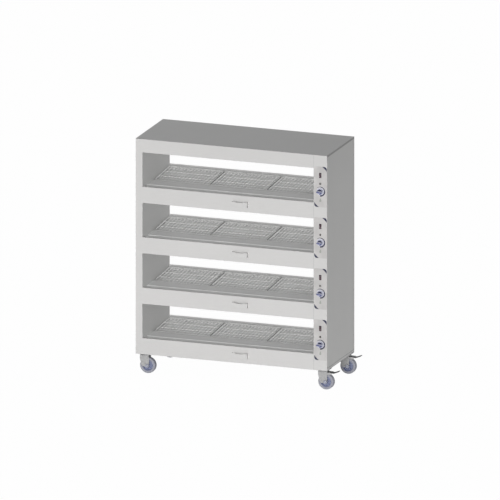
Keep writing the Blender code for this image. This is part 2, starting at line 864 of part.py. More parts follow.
def fork_mesh(braked):
    """A pressed fork with its axle; a braked one also has the pin that its pedal turns on."""
    outer = fork_inner_width / 2 + fork_sheet
    inner = fork_inner_width / 2
    foot_z = wheel_z - fork_foot_drop
    corner = fork_foot_corner
    leg = [(-fork_back_reach, fork_top_z), (-fork_back_reach, fork_top_z - fork_straight_length)]
    leg += [(-fork_back_reach + fork_taper, foot_z + corner), (-fork_back_reach + fork_taper + corner, foot_z)]
    leg += [(fork_front_reach - corner, foot_z), (fork_front_reach, foot_z + corner)]
    leg += [(fork_front_reach, fork_top_z)]
    block = prism(leg, "Y", -outer, outer)
    reach = fork_back_reach + fork_front_reach + overrun
    hollow_low = (-reach, -inner, -overrun)
    body = cut(block, box(hollow_low, (reach, inner, fork_under_z)))
    crown = cylinder(race_diameter, fork_under_z + weld, fork_top_z - weld, small_round_steps)
    hole = clear_of(kingpin_diameter, tiny_round_steps)
    pin_hole = cylinder(hole, fork_under_z - overrun, fork_top_z + overrun, tiny_round_steps)
    body = cut(joined(body, crown), pin_hole)
    axle = turned_to(cylinder(axle_diameter, -outer - weld, outer + weld, small_round_steps), "Y")
    parts = [moved(axle, (castor_trail, 0, wheel_z))]
    for side in (-1, 1):
        head = cylinder(axle_head_diameter, 0, axle_head_height + weld, 6)
        head = turned_to(head, "Y" if side > 0 else "-Y")
        parts.append(moved(head, (castor_trail, side * (outer - weld), wheel_z)))
    if braked:
        pin = turned_to(cylinder(pedal_pin_diameter, -outer + weld, outer - weld, tiny_round_steps), "Y")
        parts.append(moved(pin, (pedal_pin_inset, 0, pedal_z)))
    return smooth(joined(body, *parts))


def wheel_mesh():
    """A wheel turned about Z and laid along Y: bored hub, web, rim and rounded tyre."""
    bore = axle_diameter / 2 + fit_gap
    radius = wheel_diameter / 2
    rim = radius - tyre_depth
    side = wheel_width / 2
    hub_side = hub_width / 2
    hub = hub_diameter / 2
    web = web_thickness / 2
    upper = [(hub, hub_side), (hub, web), (rim, web), (rim + rim_depth, side)]
    upper += [(radius - tyre_shoulder, side), (radius, side - tyre_shoulder)]
    profile = [(bore, -hub_side)] + [(distance, -height) for distance, height in upper]
    profile += list(reversed(upper)) + [(bore, hub_side)]
    return smooth(turned_to(turned(profile, round_steps), "Y"))


def pedal_mesh():
    """A brake pedal from its pin outwards, its tip turned up."""
    reach = pedal_overhang + castor_inset_x - pedal_pin_inset
    half = pedal_thickness / 2
    bend = reach - pedal_tip_length
    outline = [(0, -half), (bend, -half), (reach, pedal_tip_rise - half)]
    outline += [(reach, pedal_tip_rise + half), (bend, half), (0, half)]
    side = pedal_width / 2
    plate = prism(outline, "Y", -side, side)
    boss = turned_to(cylinder(pedal_boss_diameter, -side, side, tiny_round_steps), "Y")
    bore_length = side + overrun
    bore = cylinder(clear_of(pedal_pin_diameter, tiny_round_steps), -bore_length, bore_length, tiny_round_steps)
    return smooth(cut(joined(plate, boss), turned_to(bore, "Y")))


def castor(name, x, y, meshes):
    """One castor about its upright swivel axis, with a pedal where the meshes hold one."""
    steel_finish = material(f"{name} zinc", (0.60, 0.60, 0.60), 0.35, 0.9)
    place(f"castor_plate_{name}", meshes["plate"], steel_finish, (x, y, 0))
    fork = place(f"castor_fork_{name}", meshes["fork"], steel_finish, (x, y, 0))
    rubber = material(f"{name} wheel rubber", (0.27, 0.28, 0.34), 0.6, 0)
    place(f"castor_wheel_{name}", meshes["wheel"], rubber, (castor_trail, 0, wheel_z), parent=fork)
    if "pedal" in meshes:
        pedal_place = (pedal_pin_inset, 0, pedal_z)
        finish = black_plastic(f"{name} pedal plastic")
        place(f"brake_pedal_{name}", meshes["pedal"], finish, pedal_place, parent=fork)


def castors():
    """Two plain castors on the left and two braked ones on the right, all trailing to the right."""
    plain = {"plate": plate_mesh(), "fork": fork_mesh(False), "wheel": wheel_mesh()}
    braked = {**plain, "fork": fork_mesh(True), "pedal": pedal_mesh()}
    for depth_name, y in (("front", front_y + castor_inset_front), ("rear", rear_y - castor_inset_rear)):
        castor(f"{depth_name}_left", left_x + castor_inset_x, y, plain)
        castor(f"{depth_name}_right", right_x - castor_inset_x, y, braked)


def cabinet():
    for leftover in list(bpy.data.objects):
        bpy.data.objects.remove(leftover)
    front_frame()
    rear_frame()
    side_shell("left_side_shell", left_x, 1)
    side_shell("right_side_shell", right_x, -1)
    roof_panel()
    control_fascia()
    inner_liner()
    base_pan()
    element = element_mesh()
    grid = grid_mesh()
    dial = knob_mesh()
    for tier in range(tier_count):
        shelf_casing(tier)
        heating_element(tier, element)
        for column in range(grids_per_tier):
            wire_grid(tier, column, grid)
        switch_housing(tier)
        rocker(tier)
        thermostat(tier)
        knob(tier, dial)
    terminal_block()
    cable_gland()
    castors()
    bpy.context.view_layer.update()


cabinet()
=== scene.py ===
"""Looks of the mobile heated cabinet: finishes, wire grids, printed labels, knobs, wheels and fasteners."""
import json
import math

import bmesh
import bpy
from mathutils import Matrix, Vector


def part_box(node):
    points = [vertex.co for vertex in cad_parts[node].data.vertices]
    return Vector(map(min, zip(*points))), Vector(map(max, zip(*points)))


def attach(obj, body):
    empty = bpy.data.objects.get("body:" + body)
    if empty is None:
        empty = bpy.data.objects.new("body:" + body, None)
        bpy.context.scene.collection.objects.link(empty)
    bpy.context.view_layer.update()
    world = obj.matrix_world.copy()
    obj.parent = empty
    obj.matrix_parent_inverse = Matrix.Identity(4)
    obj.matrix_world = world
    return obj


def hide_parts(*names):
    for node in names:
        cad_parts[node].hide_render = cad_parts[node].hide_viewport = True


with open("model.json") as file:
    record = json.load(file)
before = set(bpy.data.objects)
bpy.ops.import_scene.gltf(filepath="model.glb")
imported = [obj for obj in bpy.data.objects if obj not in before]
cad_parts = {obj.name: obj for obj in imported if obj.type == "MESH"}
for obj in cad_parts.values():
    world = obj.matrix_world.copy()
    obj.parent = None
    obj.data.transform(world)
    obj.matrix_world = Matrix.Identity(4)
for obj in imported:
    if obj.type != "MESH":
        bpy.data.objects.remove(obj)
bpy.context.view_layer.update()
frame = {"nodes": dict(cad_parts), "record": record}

# Places read from the frame
roof_low, roof_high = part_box("roof_panel")
left_x, front_y = roof_low.x, roof_low.y
right_x, rear_y, top_z = roof_high
cabinet_depth = rear_y - front_y
sheet = 0.0012
seam_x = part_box("inner_liner")[1].x - sheet
base_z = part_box("base_pan")[0].z
tier_count = 4
shelf_rise = 0.032
slope_angle = math.atan(shelf_rise / cabinet_depth)
control_pitch = 0.3115
top_rail_height = 0.082
control_x = seam_x + 0.041
switch_drop = 0.041
lamp_drop = 0.092
knob_drop = 0.140


def control_top(tier):
    """Height from which a tier's switch, lamp and knob are measured down."""
    return top_z - top_rail_height - tier * control_pitch


# Shader nodes

def fill(tree, node, inputs):
    """Fills a node's inputs, each with a value or with the output of another node."""
    for place, value in inputs.items():
        if isinstance(value, bpy.types.NodeSocket):
            tree.links.new(value, node.inputs[place])
        else:
            node.inputs[place].default_value = value


def new_node(tree, kind, inputs=None, operation=None):
    """A new node with its operation and inputs; gives its outputs."""
    node = tree.nodes.new(kind)
    if operation:
        node.operation = operation
    fill(tree, node, inputs or {})
    return node.outputs


def computed(tree, operation, *values):
    """Values or numbers joined by one operation; a test gives one where it holds, else nought."""
    return new_node(tree, "ShaderNodeMath", dict(enumerate(values)), operation)[0]


# Camera: a parallel projection from the front right and a little above
photo_size = 500
photo_azimuth = math.radians(19.8)
photo_elevation = math.radians(14.8)
metres_per_pixel = 0.005902
corner_pixel = (135.7, 138.3)
camera_distance = 8.0
camera_reach = 60.0


def make_camera():
    """A parallel view in which the casing's top front left corner falls on its pixel."""
    across = Vector((math.cos(photo_azimuth), math.sin(photo_azimuth), 0))
    toward = Vector((math.sin(photo_azimuth) * math.cos(photo_elevation),
                     -math.cos(photo_azimuth) * math.cos(photo_elevation),
                     math.sin(photo_elevation)))
    up = toward.cross(across)
    corner = Vector((left_x, front_y, top_z))
    right_by = (photo_size / 2 - corner_pixel[0]) * metres_per_pixel
    down_by = (photo_size / 2 - corner_pixel[1]) * metres_per_pixel
    aim = corner + across * right_by - up * down_by
    data = bpy.data.cameras.new("camera")
    data.type = "ORTHO"
    data.ortho_scale = photo_size * metres_per_pixel
    data.clip_end = camera_reach
    camera = bpy.data.objects.new("camera", data)
    camera.matrix_world = Matrix((across, up, toward)).transposed().to_4x4()
    camera.location = aim + toward * camera_distance
    bpy.context.scene.collection.objects.link(camera)
    bpy.context.scene.camera = camera


# Light: a broad soft key from nearly straight ahead, a weak one from behind, an even room
key_direction = Vector((0.17, -0.975, 0.14))
key_strength = 2.15
key_softness = math.radians(22)
back_direction = Vector((0.45, 0.85, 0.27))
back_strength = 0.14
back_softness = math.radians(40)
room_strength = 0.30


def make_sun(name, direction, strength, softness):
    """A far lamp that shines from a direction."""
    data = bpy.data.lights.new(name, "SUN")
    data.energy = strength
    data.angle = softness
    lamp = bpy.data.objects.new(name, data)
    lamp.rotation_euler = direction.to_track_quat("Z", "Y").to_euler()
    bpy.context.scene.collection.objects.link(lamp)


def make_lights():
    """The two lamps, and a room that is white where it is seen and dim where it only lights."""
    make_sun("key", key_direction, key_strength, key_softness)
    make_sun("back", back_direction, back_strength, back_softness)
    world = bpy.data.worlds.new("room")
    bpy.context.scene.world = world
    world.use_nodes = True
    tree = world.node_tree
    tree.nodes.clear()
    paths = new_node(tree, "ShaderNodeLightPath")
    clear = computed(tree, "MAXIMUM", paths["Is Camera Ray"], paths["Is Transmission Ray"])
    seen = computed(tree, "MAXIMUM", clear, paths["Is Glossy Ray"])
    level = ranged(tree, seen, room_strength, 1.0, 0.0, 1.0)
    background = new_node(tree, "ShaderNodeBackground", {"Color": (1, 1, 1, 1), "Strength": level})
    new_node(tree, "ShaderNodeOutputWorld", {"Surface": background[0]})


floor_half = 12.0
floor_tone = 0.92
floor_glow = 0.985


def make_floor():
    """A pale floor, seen as nearly white, that still takes the cabinet's soft shadow."""
    shape = bmesh.new()
    outline = box_outline(-floor_half, -floor_half, floor_half, floor_half)
    shape.faces.new(ring_on(shape, outline, 0, "Z"))
    mesh = bpy.data.meshes.new("floor")
    shape.to_mesh(mesh)
    shape.free()
    floor = bpy.data.objects.new("floor", mesh)
    bpy.context.scene.collection.objects.link(floor)
    finish = bpy.data.materials.new("floor")
    finish.use_nodes = True
    tree = finish.node_tree
    tree.nodes.clear()
    diffuse = new_node(tree, "ShaderNodeBsdfDiffuse", {"Color": (floor_tone, floor_tone, floor_tone, 1)})
    glow = new_node(tree, "ShaderNodeEmission", {"Color": (1, 1, 1, 1), "Strength": 1.0})
    paths = new_node(tree, "ShaderNodeLightPath")
    share = computed(tree, "MULTIPLY", paths["Is Camera Ray"], floor_glow)
    mix = new_node(tree, "ShaderNodeMixShader", {0: share, 1: diffuse[0], 2: glow[0]})
    new_node(tree, "ShaderNodeOutputMaterial", {"Surface": mix[0]})
    mesh.materials.append(finish)


# Materials

def blank(name):
    """A new node material with its shader, and its tree."""
    made = bpy.data.materials.new(name)
    made.use_nodes = True
    tree = made.node_tree
    return made, tree, tree.nodes["Principled BSDF"]


def placed_noise(tree, scale, detail, stretch=(1, 1, 1)):
    """Noise in the object's own space, stretched per axis; its value output."""
    place = new_node(tree, "ShaderNodeTexCoord")["Object"]
    mapped = new_node(tree, "ShaderNodeMapping", {"Scale": stretch, "Vector": place})[0]
    return new_node(tree, "ShaderNodeTexNoise", {"Scale": scale, "Detail": detail, "Vector": mapped})["Fac"]


def ranged(tree, value, low, high, start=0.25, end=0.75, smooth=False):
    """Goes from low to high while a value goes from start to end."""
    node = tree.nodes.new("ShaderNodeMapRange")
    if smooth:
        node.interpolation_type = "SMOOTHSTEP"
    fill(tree, node, {"From Min": start, "From Max": end, "To Min": low, "To Max": high, "Value": value})
    return node.outputs["Result"]


def tinted(tree, value, colour, dark, light):
    """A colour times a share that goes from dark to light with a value."""
    ramp = tree.nodes.new("ShaderNodeValToRGB")
    for element, place, share in zip(ramp.color_ramp.elements, (0.3, 0.7), (dark, light)):
        element.position = place
        element.color = (*(channel * share for channel in colour), 1)
    tree.links.new(value, ramp.inputs["Fac"])
    return ramp.outputs["Color"]


def bumped(tree, value, distance, strength):
    """The direction of a surface that a value lifts and lowers."""
    return new_node(tree, "ShaderNodeBump", {"Strength": strength, "Distance": distance, "Height": value})[0]


def axes_of(tree, source, output):
    """The X, Y and Z of one output of a new node, such as a place or a direction."""
    return new_node(tree, "ShaderNodeSeparateXYZ", {0: new_node(tree, source)[output]})


def scaled(tree, colour, value, low, high, start=0.0, end=1.0, smooth=False):
    """A colour times a share that goes from low to high while a value goes from start to end."""
    share = ranged(tree, value, low, high, start, end, smooth)
    return new_node(tree, "ShaderNodeVectorMath", {0: colour, "Scale": share}, "SCALE")[0]


mottle_share = 0.35


def brushed_steel(name, colour, grain, metallic=0.15, roughness=0.42, shade_gradient=("Z", 1.0, 1.0)):
    """Sheet steel, brushed along one axis, with a faint mottle and an even change of tone that is painted
    light and shade.

    The gradient argument holds an axis of the piece and the share of the colour at its low and its high end.
    """
    made, tree, shader = blank(name)
    across = {"X": (3, 160, 160), "Y": (160, 3, 160), "Z": (160, 160, 3)}[grain]
    lines = placed_noise(tree, 9.0, 4.0, across)
    cloud = placed_noise(tree, 2.2, 2.0)
    rest = computed(tree, "MULTIPLY", lines, 1 - mottle_share)
    mixed = computed(tree, "MULTIPLY_ADD", cloud, mottle_share, rest)
    # Painted light and shade: the colour's share goes evenly from low to high along the axis.
    axis, low, high = shade_gradient
    along = axes_of(tree, "ShaderNodeTexCoord", "Generated")[axis]
    fill(tree, shader, {
        "Base Color": scaled(tree, tinted(tree, mixed, colour, 0.95, 1.04), along, low, high),
        "Roughness": ranged(tree, lines, roughness - 0.06, roughness + 0.06),
        "Metallic": metallic,
        "Normal": bumped(tree, lines, 0.00006, 0.25),
    })
    return made


def plated_wire(name, colour, metallic, roughness, gloss):
    """Plated wire, with faint dulling where the plating varies."""
    made, tree, shader = blank(name)
    blur = placed_noise(tree, 60.0, 3.0)
    fill(tree, shader, {
        "Base Color": tinted(tree, blur, colour, 0.90, 1.0),
        "Roughness": ranged(tree, blur, roughness - 0.05, roughness + 0.05),
        "Metallic": metallic,
        "Specular IOR Level": gloss,
    })
    return made


def toned(tree, shader, mask, share):
    """The base colour scaled by a share where the mask is one."""
    even = shader.inputs["Base Color"].links[0].from_socket
    tree.links.new(scaled(tree, even, mask, 1.0, share), shader.inputs["Base Color"])


def flank_shaded_wire(name, colour, half_width):
    """Plated frame wire, a darker copy of the slat wire's plating as painted shade, with more painted shade
    on the outer flank where neighbouring grids stand close together.
    """
    made = plated_wire(name, colour, 0.05, 0.62, 0.08)
    tree = made.node_tree
    along = axes_of(tree, "ShaderNodeTexCoord", "Object")["X"]
    # Painted shade on the outer flank, between neighbouring grids.
    inner = computed(tree, "COMPARE", along, 0.0, half_width - flank_shade_width)
    toned(tree, tree.nodes["Principled BSDF"], computed(tree, "SUBTRACT", 1.0, inner), flank_shade_share)
    return made


def heated_sheet(name, colour, recess, bead_y):
    """The shelves' sheet: brushed along X, with painted light under the grids, painted shade on its rear lip
    and rear step, and a painted highlight on its bead.
    """
    made = brushed_steel(name, colour, "X", 0.10, 0.58)
    tree = made.node_tree
    shader = tree.nodes["Principled BSDF"]
    even = shader.inputs["Base Color"].links[0].from_socket
    # Painted shade on the rear lip: the colour darkens towards the back.
    back = axes_of(tree, "ShaderNodeTexCoord", "Generated")["Y"]
    fill(tree, shader, {
        "Specular IOR Level": 0.30,
        "Base Color": scaled(tree, even, back, 1.0, lip_shade_share, lip_shade_from, lip_shade_to, smooth=True),
    })
    depth = axes_of(tree, "ShaderNodeNewGeometry", "Position")["Y"]
    facing = axes_of(tree, "ShaderNodeNewGeometry", "Normal")
    upward = computed(tree, "GREATER_THAN", facing["Z"], 0.5)
    forward = computed(tree, "LESS_THAN", facing["Y"], -0.5)
    rear = computed(tree, "GREATER_THAN", depth, recess[0])
    run = computed(tree, "COMPARE", depth, (recess[0] + recess[1]) / 2, (recess[1] - recess[0]) / 2)
    bead = computed(tree, "COMPARE", depth, bead_y, bead_highlight_half)
    # Painted shade on the rear step's forward faces, painted light on the recess's upward faces, painted
    # highlight on the bead.
    for one, other, share in ((rear, forward, step_shade_share), (run, upward, recess_light_share),
                              (bead, upward, bead_highlight_share)):
        toned(tree, shader, computed(tree, "MULTIPLY", one, other), share)
    return made


def zinc(name, colour):
    """Zinc-plated pressed steel with the plating's soft spangle."""
    made, tree, shader = blank(name)
    spangle = placed_noise(tree, 140.0, 2.0)
    fill(tree, shader, {
        "Base Color": tinted(tree, spangle, colour, 0.90, 1.05),
        "Roughness": ranged(tree, spangle, 0.34, 0.50),
        "Metallic": 0.30,
        "Normal": bumped(tree, spangle, 0.00008, 0.2),
    })
    return made


def moulded(name, colour, roughness=0.45, grain=420.0, depth=0.00005):
    """Moulded plastic or rubber with a fine surface grain and a slight tone change."""
    made, tree, shader = blank(name)
    fine = placed_noise(tree, grain, 2.0)
    fill(tree, shader, {
        "Base Color": tinted(tree, placed_noise(tree, 14.0, 2.0), colour, 0.90, 1.08),
        "Roughness": ranged(tree, fine, roughness - 0.05, roughness + 0.07),
        "Normal": bumped(tree, fine, depth, 0.35),
    })
    return made


def printed(name, colour, roughness=0.40):
    """Smooth print or foil."""
    return moulded(name, colour, roughness, 700.0, 0.00002)


def tinted_clear(name, colour, glow):
    """Tinted clear plastic with a little light behind it."""
    made, tree, shader = blank(name)
    ribs = placed_noise(tree, 300.0, 1.0, (1, 1, 6))
    fill(tree, shader, {
        "Base Color": tinted(tree, ribs, colour, 0.8, 1.0),
        "Roughness": ranged(tree, ribs, 0.12, 0.22),
        "Emission Color": (*colour, 1),
        "Emission Strength": glow,
        "Coat Weight": 0.5,
    })
    return made


def dipped_lever(name, dark, bare, bare_from, bare_to, boss_reach, boss_share):
    """A black lever, bare between two distances along X and worn grey on its boss."""
    made, tree, shader = blank(name)
    along = axes_of(tree, "ShaderNodeTexCoord", "Object")["X"]
    stretch = computed(tree, "MULTIPLY", computed(tree, "GREATER_THAN", along, bare_from),
                       computed(tree, "LESS_THAN", along, bare_to))
    boss = computed(tree, "MULTIPLY", computed(tree, "LESS_THAN", along, boss_reach), boss_share)
    fine = placed_noise(tree, 420.0, 2.0)
    mix = tree.nodes.new("ShaderNodeMix")
    mix.data_type = "RGBA"
    fill(tree, mix, {
        "Factor": computed(tree, "MAXIMUM", stretch, boss),
        6: tinted(tree, fine, dark, 0.85, 1.0),
        7: tinted(tree, fine, bare, 0.92, 1.0),
    })
    fill(tree, shader, {
        "Base Color": mix.outputs[2],
        "Roughness": ranged(tree, fine, 0.38, 0.50),
        "Normal": bumped(tree, fine, 0.00005, 0.3),
    })
    return made


# Shapes

def mesh_from(shape, name, smooth_angle):
    """A finished mesh from a bmesh, smooth except across edges sharper than the angle."""
    bmesh.ops.recalc_face_normals(shape, faces=shape.faces)
    mesh = bpy.data.meshes.new(name)
    limit = math.radians(smooth_angle)
    for face in shape.faces:
        face.smooth = True
    for edge in shape.edges:
        edge.smooth = len(edge.link_faces) == 2 and edge.calc_face_angle(0) < limit
    shape.to_mesh(mesh)
    shape.free()
    return mesh


def piece(name, mesh, finish, body, location=(0, 0, 0), turn=None, instead=()):
    """A new object of the scene that rides on a body, in one finish or in several."""
    made = bpy.data.objects.new(name, mesh)
    bpy.context.scene.collection.objects.link(made)
    if not mesh.materials:
        for each in (finish,) if isinstance(finish, str) else finish:
            mesh.materials.append(finishes[each])
    made.matrix_world = Matrix.Translation(location) @ (turn or Matrix.Identity(4))
    bpy.context.view_layer.update()
    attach(made, body)
    if instead:
        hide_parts(*instead)


def arc(middle_a, middle_b, radius, start, end, steps):
    """Points along a bend from one angle to another, in degrees."""
    angles = [math.radians(start + (end - start) * step / steps) for step in range(steps + 1)]
    return [(middle_a + radius * math.cos(angle), middle_b + radius * math.sin(angle)) for angle in angles]


def circle_outline(middle_a, middle_b, radius, steps):
    """Points round a circle."""
    return arc(middle_a, middle_b, radius, 0, 360, steps)[:-1]


def box_outline(low_a, low_b, high_a, high_b):
    """The corners of a rectangle."""
    return [(low_a, low_b), (high_a, low_b), (high_a, high_b), (low_a, high_b)]


def rounded_outline(width, height, radius, steps):
    """A rectangle with rounded corners round the origin."""
    outline = []
    for quarter in range(4):
        middle_a = (width / 2 - radius) * (1 if quarter in (0, 3) else -1)
        middle_b = (height / 2 - radius) * (1 if quarter in (0, 1) else -1)
        outline += arc(middle_a, middle_b, radius, 90 * quarter, 90 * quarter + 90, steps)
    return outline


def ring_on(shape, outline, level, axis):
    """New points on an outline across an axis, at one level along it."""
    spots = {
        "X": lambda a, b: (level, a, b),
        "Y": lambda a, b: (a, level, b),
        "Z": lambda a, b: (a, b, level),
    }[axis]
    return [shape.verts.new(spots(a, b)) for a, b in outline]


def bridged(shape, rings, closed=False):
    """Faces from each ring to the next one; a ring of one point is a tip."""
    for one, other in zip(rings, rings[1:] + (rings[:1] if closed else [])):
        count = max(len(one), len(other))
        for step in range(count):
            after = (step + 1) % count
            corners = (one[step % len(one)], one[after % len(one)],
                       other[after % len(other)], other[step % len(other)])
            shape.faces.new(list(dict.fromkeys(corners)))


def lofted(shape, rings):
    """A solid through rings, closed by a face on its first and its last."""
    shape.faces.new(rings[0])
    shape.faces.new(rings[-1])
    bridged(shape, rings)


def filled(shape, loops):
    """A flat face inside the first loop of points and outside the others."""
    edges = []
    for loop in loops:
        for vert, following in zip(loop, loop[1:] + loop[:1]):
            edges.append(shape.edges.get((vert, following)) or shape.edges.new((vert, following)))
    bmesh.ops.triangle_fill(shape, edges=edges, use_beauty=True)


def add_wire(shape, points, diameter, sides, closed=False):
    """Round wire along a path, mitred at its bends."""
    points = [Vector(point) for point in points]
    count = len(points)
    section = circle_outline(0, 0, diameter / 2, sides)
    rings = []
    for number, point in enumerate(points):
        before = points[number - 1] if closed or number else point
        after = points[(number + 1) % count] if closed or number < count - 1 else point
        arriving = (point - before).normalized() if (point - before).length else (after - point).normalized()
        leaving = (after - point).normalized() if (after - point).length else arriving
        along = (arriving + leaving).normalized()
        widen = 1 / max(0.5, arriving.dot(along))
        upright = Vector((0, 0, 1)) if abs(along.z) < 0.9 else Vector((0, 1, 0))
        side = along.cross(upright).normalized()
        lift = side.cross(along).normalized()
        rings.append([shape.verts.new(point + side * a * widen + lift * b) for a, b in section])
    if closed:
        bridged(shape, rings, closed)
    else:
        lofted(shape, rings)


def add_turned(shape, profile, steps, axis="Z", closed=False):
    """A solid of revolution from (radius, level) pairs, shut where they reach the axis or meet in a ring."""
    rings = []
    for radius, level in profile:
        outline = circle_outline(0, 0, radius, steps) if radius else [(0, 0)]
        rings.append(ring_on(shape, outline, level, axis))
    bridged(shape, rings, closed)


def turned_mesh(name, profile, steps, axis="Z", smooth_angle=40, closed=False):
    """A mesh of one solid of revolution."""
    shape = bmesh.new()
    add_turned(shape, profile, steps, axis, closed)
    return mesh_from(shape, name, smooth_angle)


def add_prism(shape, outline, low, high, axis="Y"):
    """A straight prism on an outline across an axis."""
    lofted(shape, [ring_on(shape, outline, level, axis) for level in (low, high)])


def prism_mesh(name, outlines, low, high, axis="Y", smooth_angle=20):
    """A mesh of straight prisms, one on each outline."""
    shape = bmesh.new()
    for outline in outlines:
        add_prism(shape, outline, low, high, axis)
    return mesh_from(shape, name, smooth_angle)


def plate_mesh(name, outline, holes, near, far):
    """A plate across Y with holes."""
    shape = bmesh.new()
    sides = []
    for level in (near, far):
        rings = [ring_on(shape, loop, level, "Y") for loop in (outline, *holes)]
        filled(shape, rings)
        sides.append(rings)
    for pair in zip(*sides):
        bridged(shape, list(pair))
    return mesh_from(shape, name, 20)


# Finishes

# Painted shade on the rear lip of a shelf: where it starts and is full, as shares of the depth, and its share
# of the colour
lip_shade_from = 0.966
lip_shade_to = 0.970
lip_shade_share = 0.86
# Painted shade on the forward faces of the step at the rear, painted light on the recess under the grids and
# a painted highlight on the bead of the front landing, as shares of the colour
step_shade_share = 0.58
recess_light_share = 1.06
bead_highlight_share = 1.24
bead_setback = 0.088
bead_highlight_half = 0.0042
# Painted shade on the outer flank of a grid's frame wire
flank_shade_width = 0.0022
flank_shade_share = 0.42
grid_low, grid_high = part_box("wire_grid_1_left")
grid_edge = 0.004
grid_run = (grid_low.y + grid_edge, grid_high.y - grid_edge)
grid_half_width = (grid_high.x - grid_low.x) / 2
# Pedal: from where to where it is bare, and the reach of its worn boss with its share of bare metal
pedal_bare = (0.050, 0.062)
pedal_boss = (0.0052, 0.25)

finishes = {
    # Front, side and roof brighten towards one end by painted light and shade.
    "front": brushed_steel("front_steel", (0.622, 0.616, 0.609), "X", shade_gradient=("Z", 1.08, 1.0)),
    "side": brushed_steel("side_steel", (0.630, 0.630, 0.622), "Z", shade_gradient=("Z", 1.19, 0.965)),
    # The roof is the same steel at about half the tone: painted shade on the top.
    "roof": brushed_steel("roof_steel", (0.322, 0.322, 0.320), "X", shade_gradient=("X", 1.03, 0.95)),
    # The inner steel is the same steel made brighter: painted light inside the tiers.
    "inner": brushed_steel("inner_steel", (0.715, 0.715, 0.708), "Y", 0.10, 0.48),
    # The shelf steel is brighter than the casing's: painted light inside the tiers.
    "shelf": heated_sheet("shelf_steel", (0.795, 0.795, 0.790), grid_run, front_y + bead_setback),
    "base": brushed_steel("base_steel", (0.600, 0.600, 0.600), "X", 0.15, 0.50),
    "wire": plated_wire("grid_wire", (0.84, 0.84, 0.835), 1.0, 0.44, 0.5),
    # The frame finish is a darker copy of the wire plating: painted shade on the frame and cross wires.
    "frame": flank_shaded_wire("grid_frame", (0.61, 0.61, 0.605), grid_half_width),
    "zinc": zinc("castor_zinc", (0.47, 0.47, 0.47)),
    "screw": zinc("screw_zinc", (0.50, 0.50, 0.51)),
    "black": moulded("black_plastic", (0.018, 0.018, 0.020)),
    "well": moulded("well_plastic", (0.058, 0.040, 0.050), 0.6),
    "blue": moulded("knob_plastic", (0.104, 0.124, 0.208), 0.34),
    "skirt": moulded("skirt_plastic", (0.560, 0.575, 0.690), 0.38),
    "insert": moulded("insert_plastic", (0.120, 0.130, 0.270), 0.36),
    "cap": moulded("cap_plastic", (0.390, 0.405, 0.470), 0.36),
    "race": zinc("race_zinc", (0.320, 0.320, 0.325)),
    # Sealant grey, partly painted shade for the seam's gap.
    "sealant": moulded("sealant", (0.360, 0.360, 0.358), 0.6),
    "hub": moulded("hub_plastic", (0.225, 0.250, 0.375), 0.45),
    "rubber": moulded("wheel_rubber", (0.340, 0.345, 0.395), 0.62, 260.0, 0.00010),
    "rocker": moulded("rocker_plastic", (0.088, 0.046, 0.062), 0.34),
    "lens": tinted_clear("lens_plastic", (0.080, 0.076, 0.062), 0.02),
    "white": moulded("white_print", (0.800, 0.800, 0.800), 0.40),
    "foil": printed("label_foil", (0.556, 0.543, 0.536), 0.38),
    # Navy print also serves as painted shade on the knobs' crescents.
    "navy": printed("navy_print", (0.014, 0.016, 0.055), 0.42),
    "grey": printed("grey_print", (0.330, 0.330, 0.350)),
    "faint": printed("faint_print", (0.350, 0.370, 0.335)),
    "pale": printed("pale_print", (0.610, 0.615, 0.680)),
    "bezel": moulded("bezel_plastic", (0.150, 0.150, 0.142), 0.4),
    # Slate is painted shade on the knobs' lower skirts.
    "slate": printed("slate_shade", (0.085, 0.095, 0.225)),
    # Darker steel on the pressed fold lines: painted shade in the folds.
    "fold": brushed_steel("fold_shade_steel", (0.400, 0.400, 0.395), "Y"),
    "sheath": zinc("element_sheath", (0.240, 0.225, 0.205)),
    "brass": zinc("thermostat_metal", (0.560, 0.530, 0.450)),
    "terminal": moulded("terminal_plastic", (0.620, 0.600, 0.540), 0.5),
    "pedal": dipped_lever("pedal_lever", (0.035, 0.035, 0.036), (0.8, 0.8, 0.8), *pedal_bare, *pedal_boss),
}


# Finish of every CAD node that is shown as it is, by the start of its name
node_finishes = {
    "front_frame": "front", "control_fascia": "front", "rear_frame": "front",
    "left_side_shell": "side", "right_side_shell": "side", "roof_panel": "roof",
    "inner_liner": "inner", "base_pan": "base", "heated_shelf": "shelf", "wire_grid": "wire",
    "heating_element": "sheath", "terminal_block": "terminal", "cable_gland": "black",
    "switch_housing": "well", "rocker": "rocker", "thermostat_knob": "blue", "thermostat": "brass",
    "castor_plate": "race", "castor_fork": "zinc", "castor_wheel": "rubber", "brake_pedal": "pedal",
}


def paint_nodes():
    """Gives every CAD node its finish."""
    for name, node in frame["nodes"].items():
        finish = finishes[next(each for start, each in node_finishes.items() if name.startswith(start))]
        if not node.data.materials:
            node.data.materials.append(finish)
        for slot in node.material_slots:
            slot.material = finish


def body_of_node(node):
    """The body that holds a node, as the record says."""
    for body, nodes in frame["record"]["behaviour"]["bodies"].items():
        if node in nodes:
            return body
    return "root"


# Wire grids

grid_frame_wire = 0.0055
grid_cross_wire = 0.0045
grid_slat_wire = 0.0036
grid_slats = 15
grid_crosses = 2
grid_corner = 0.016
grid_lift = 0.0006
grid_weld = 0.0003
grid_bend_steps = 6
grid_frame_sides = 12
grid_wire_sides = 10
shade_flank_start = 0.0


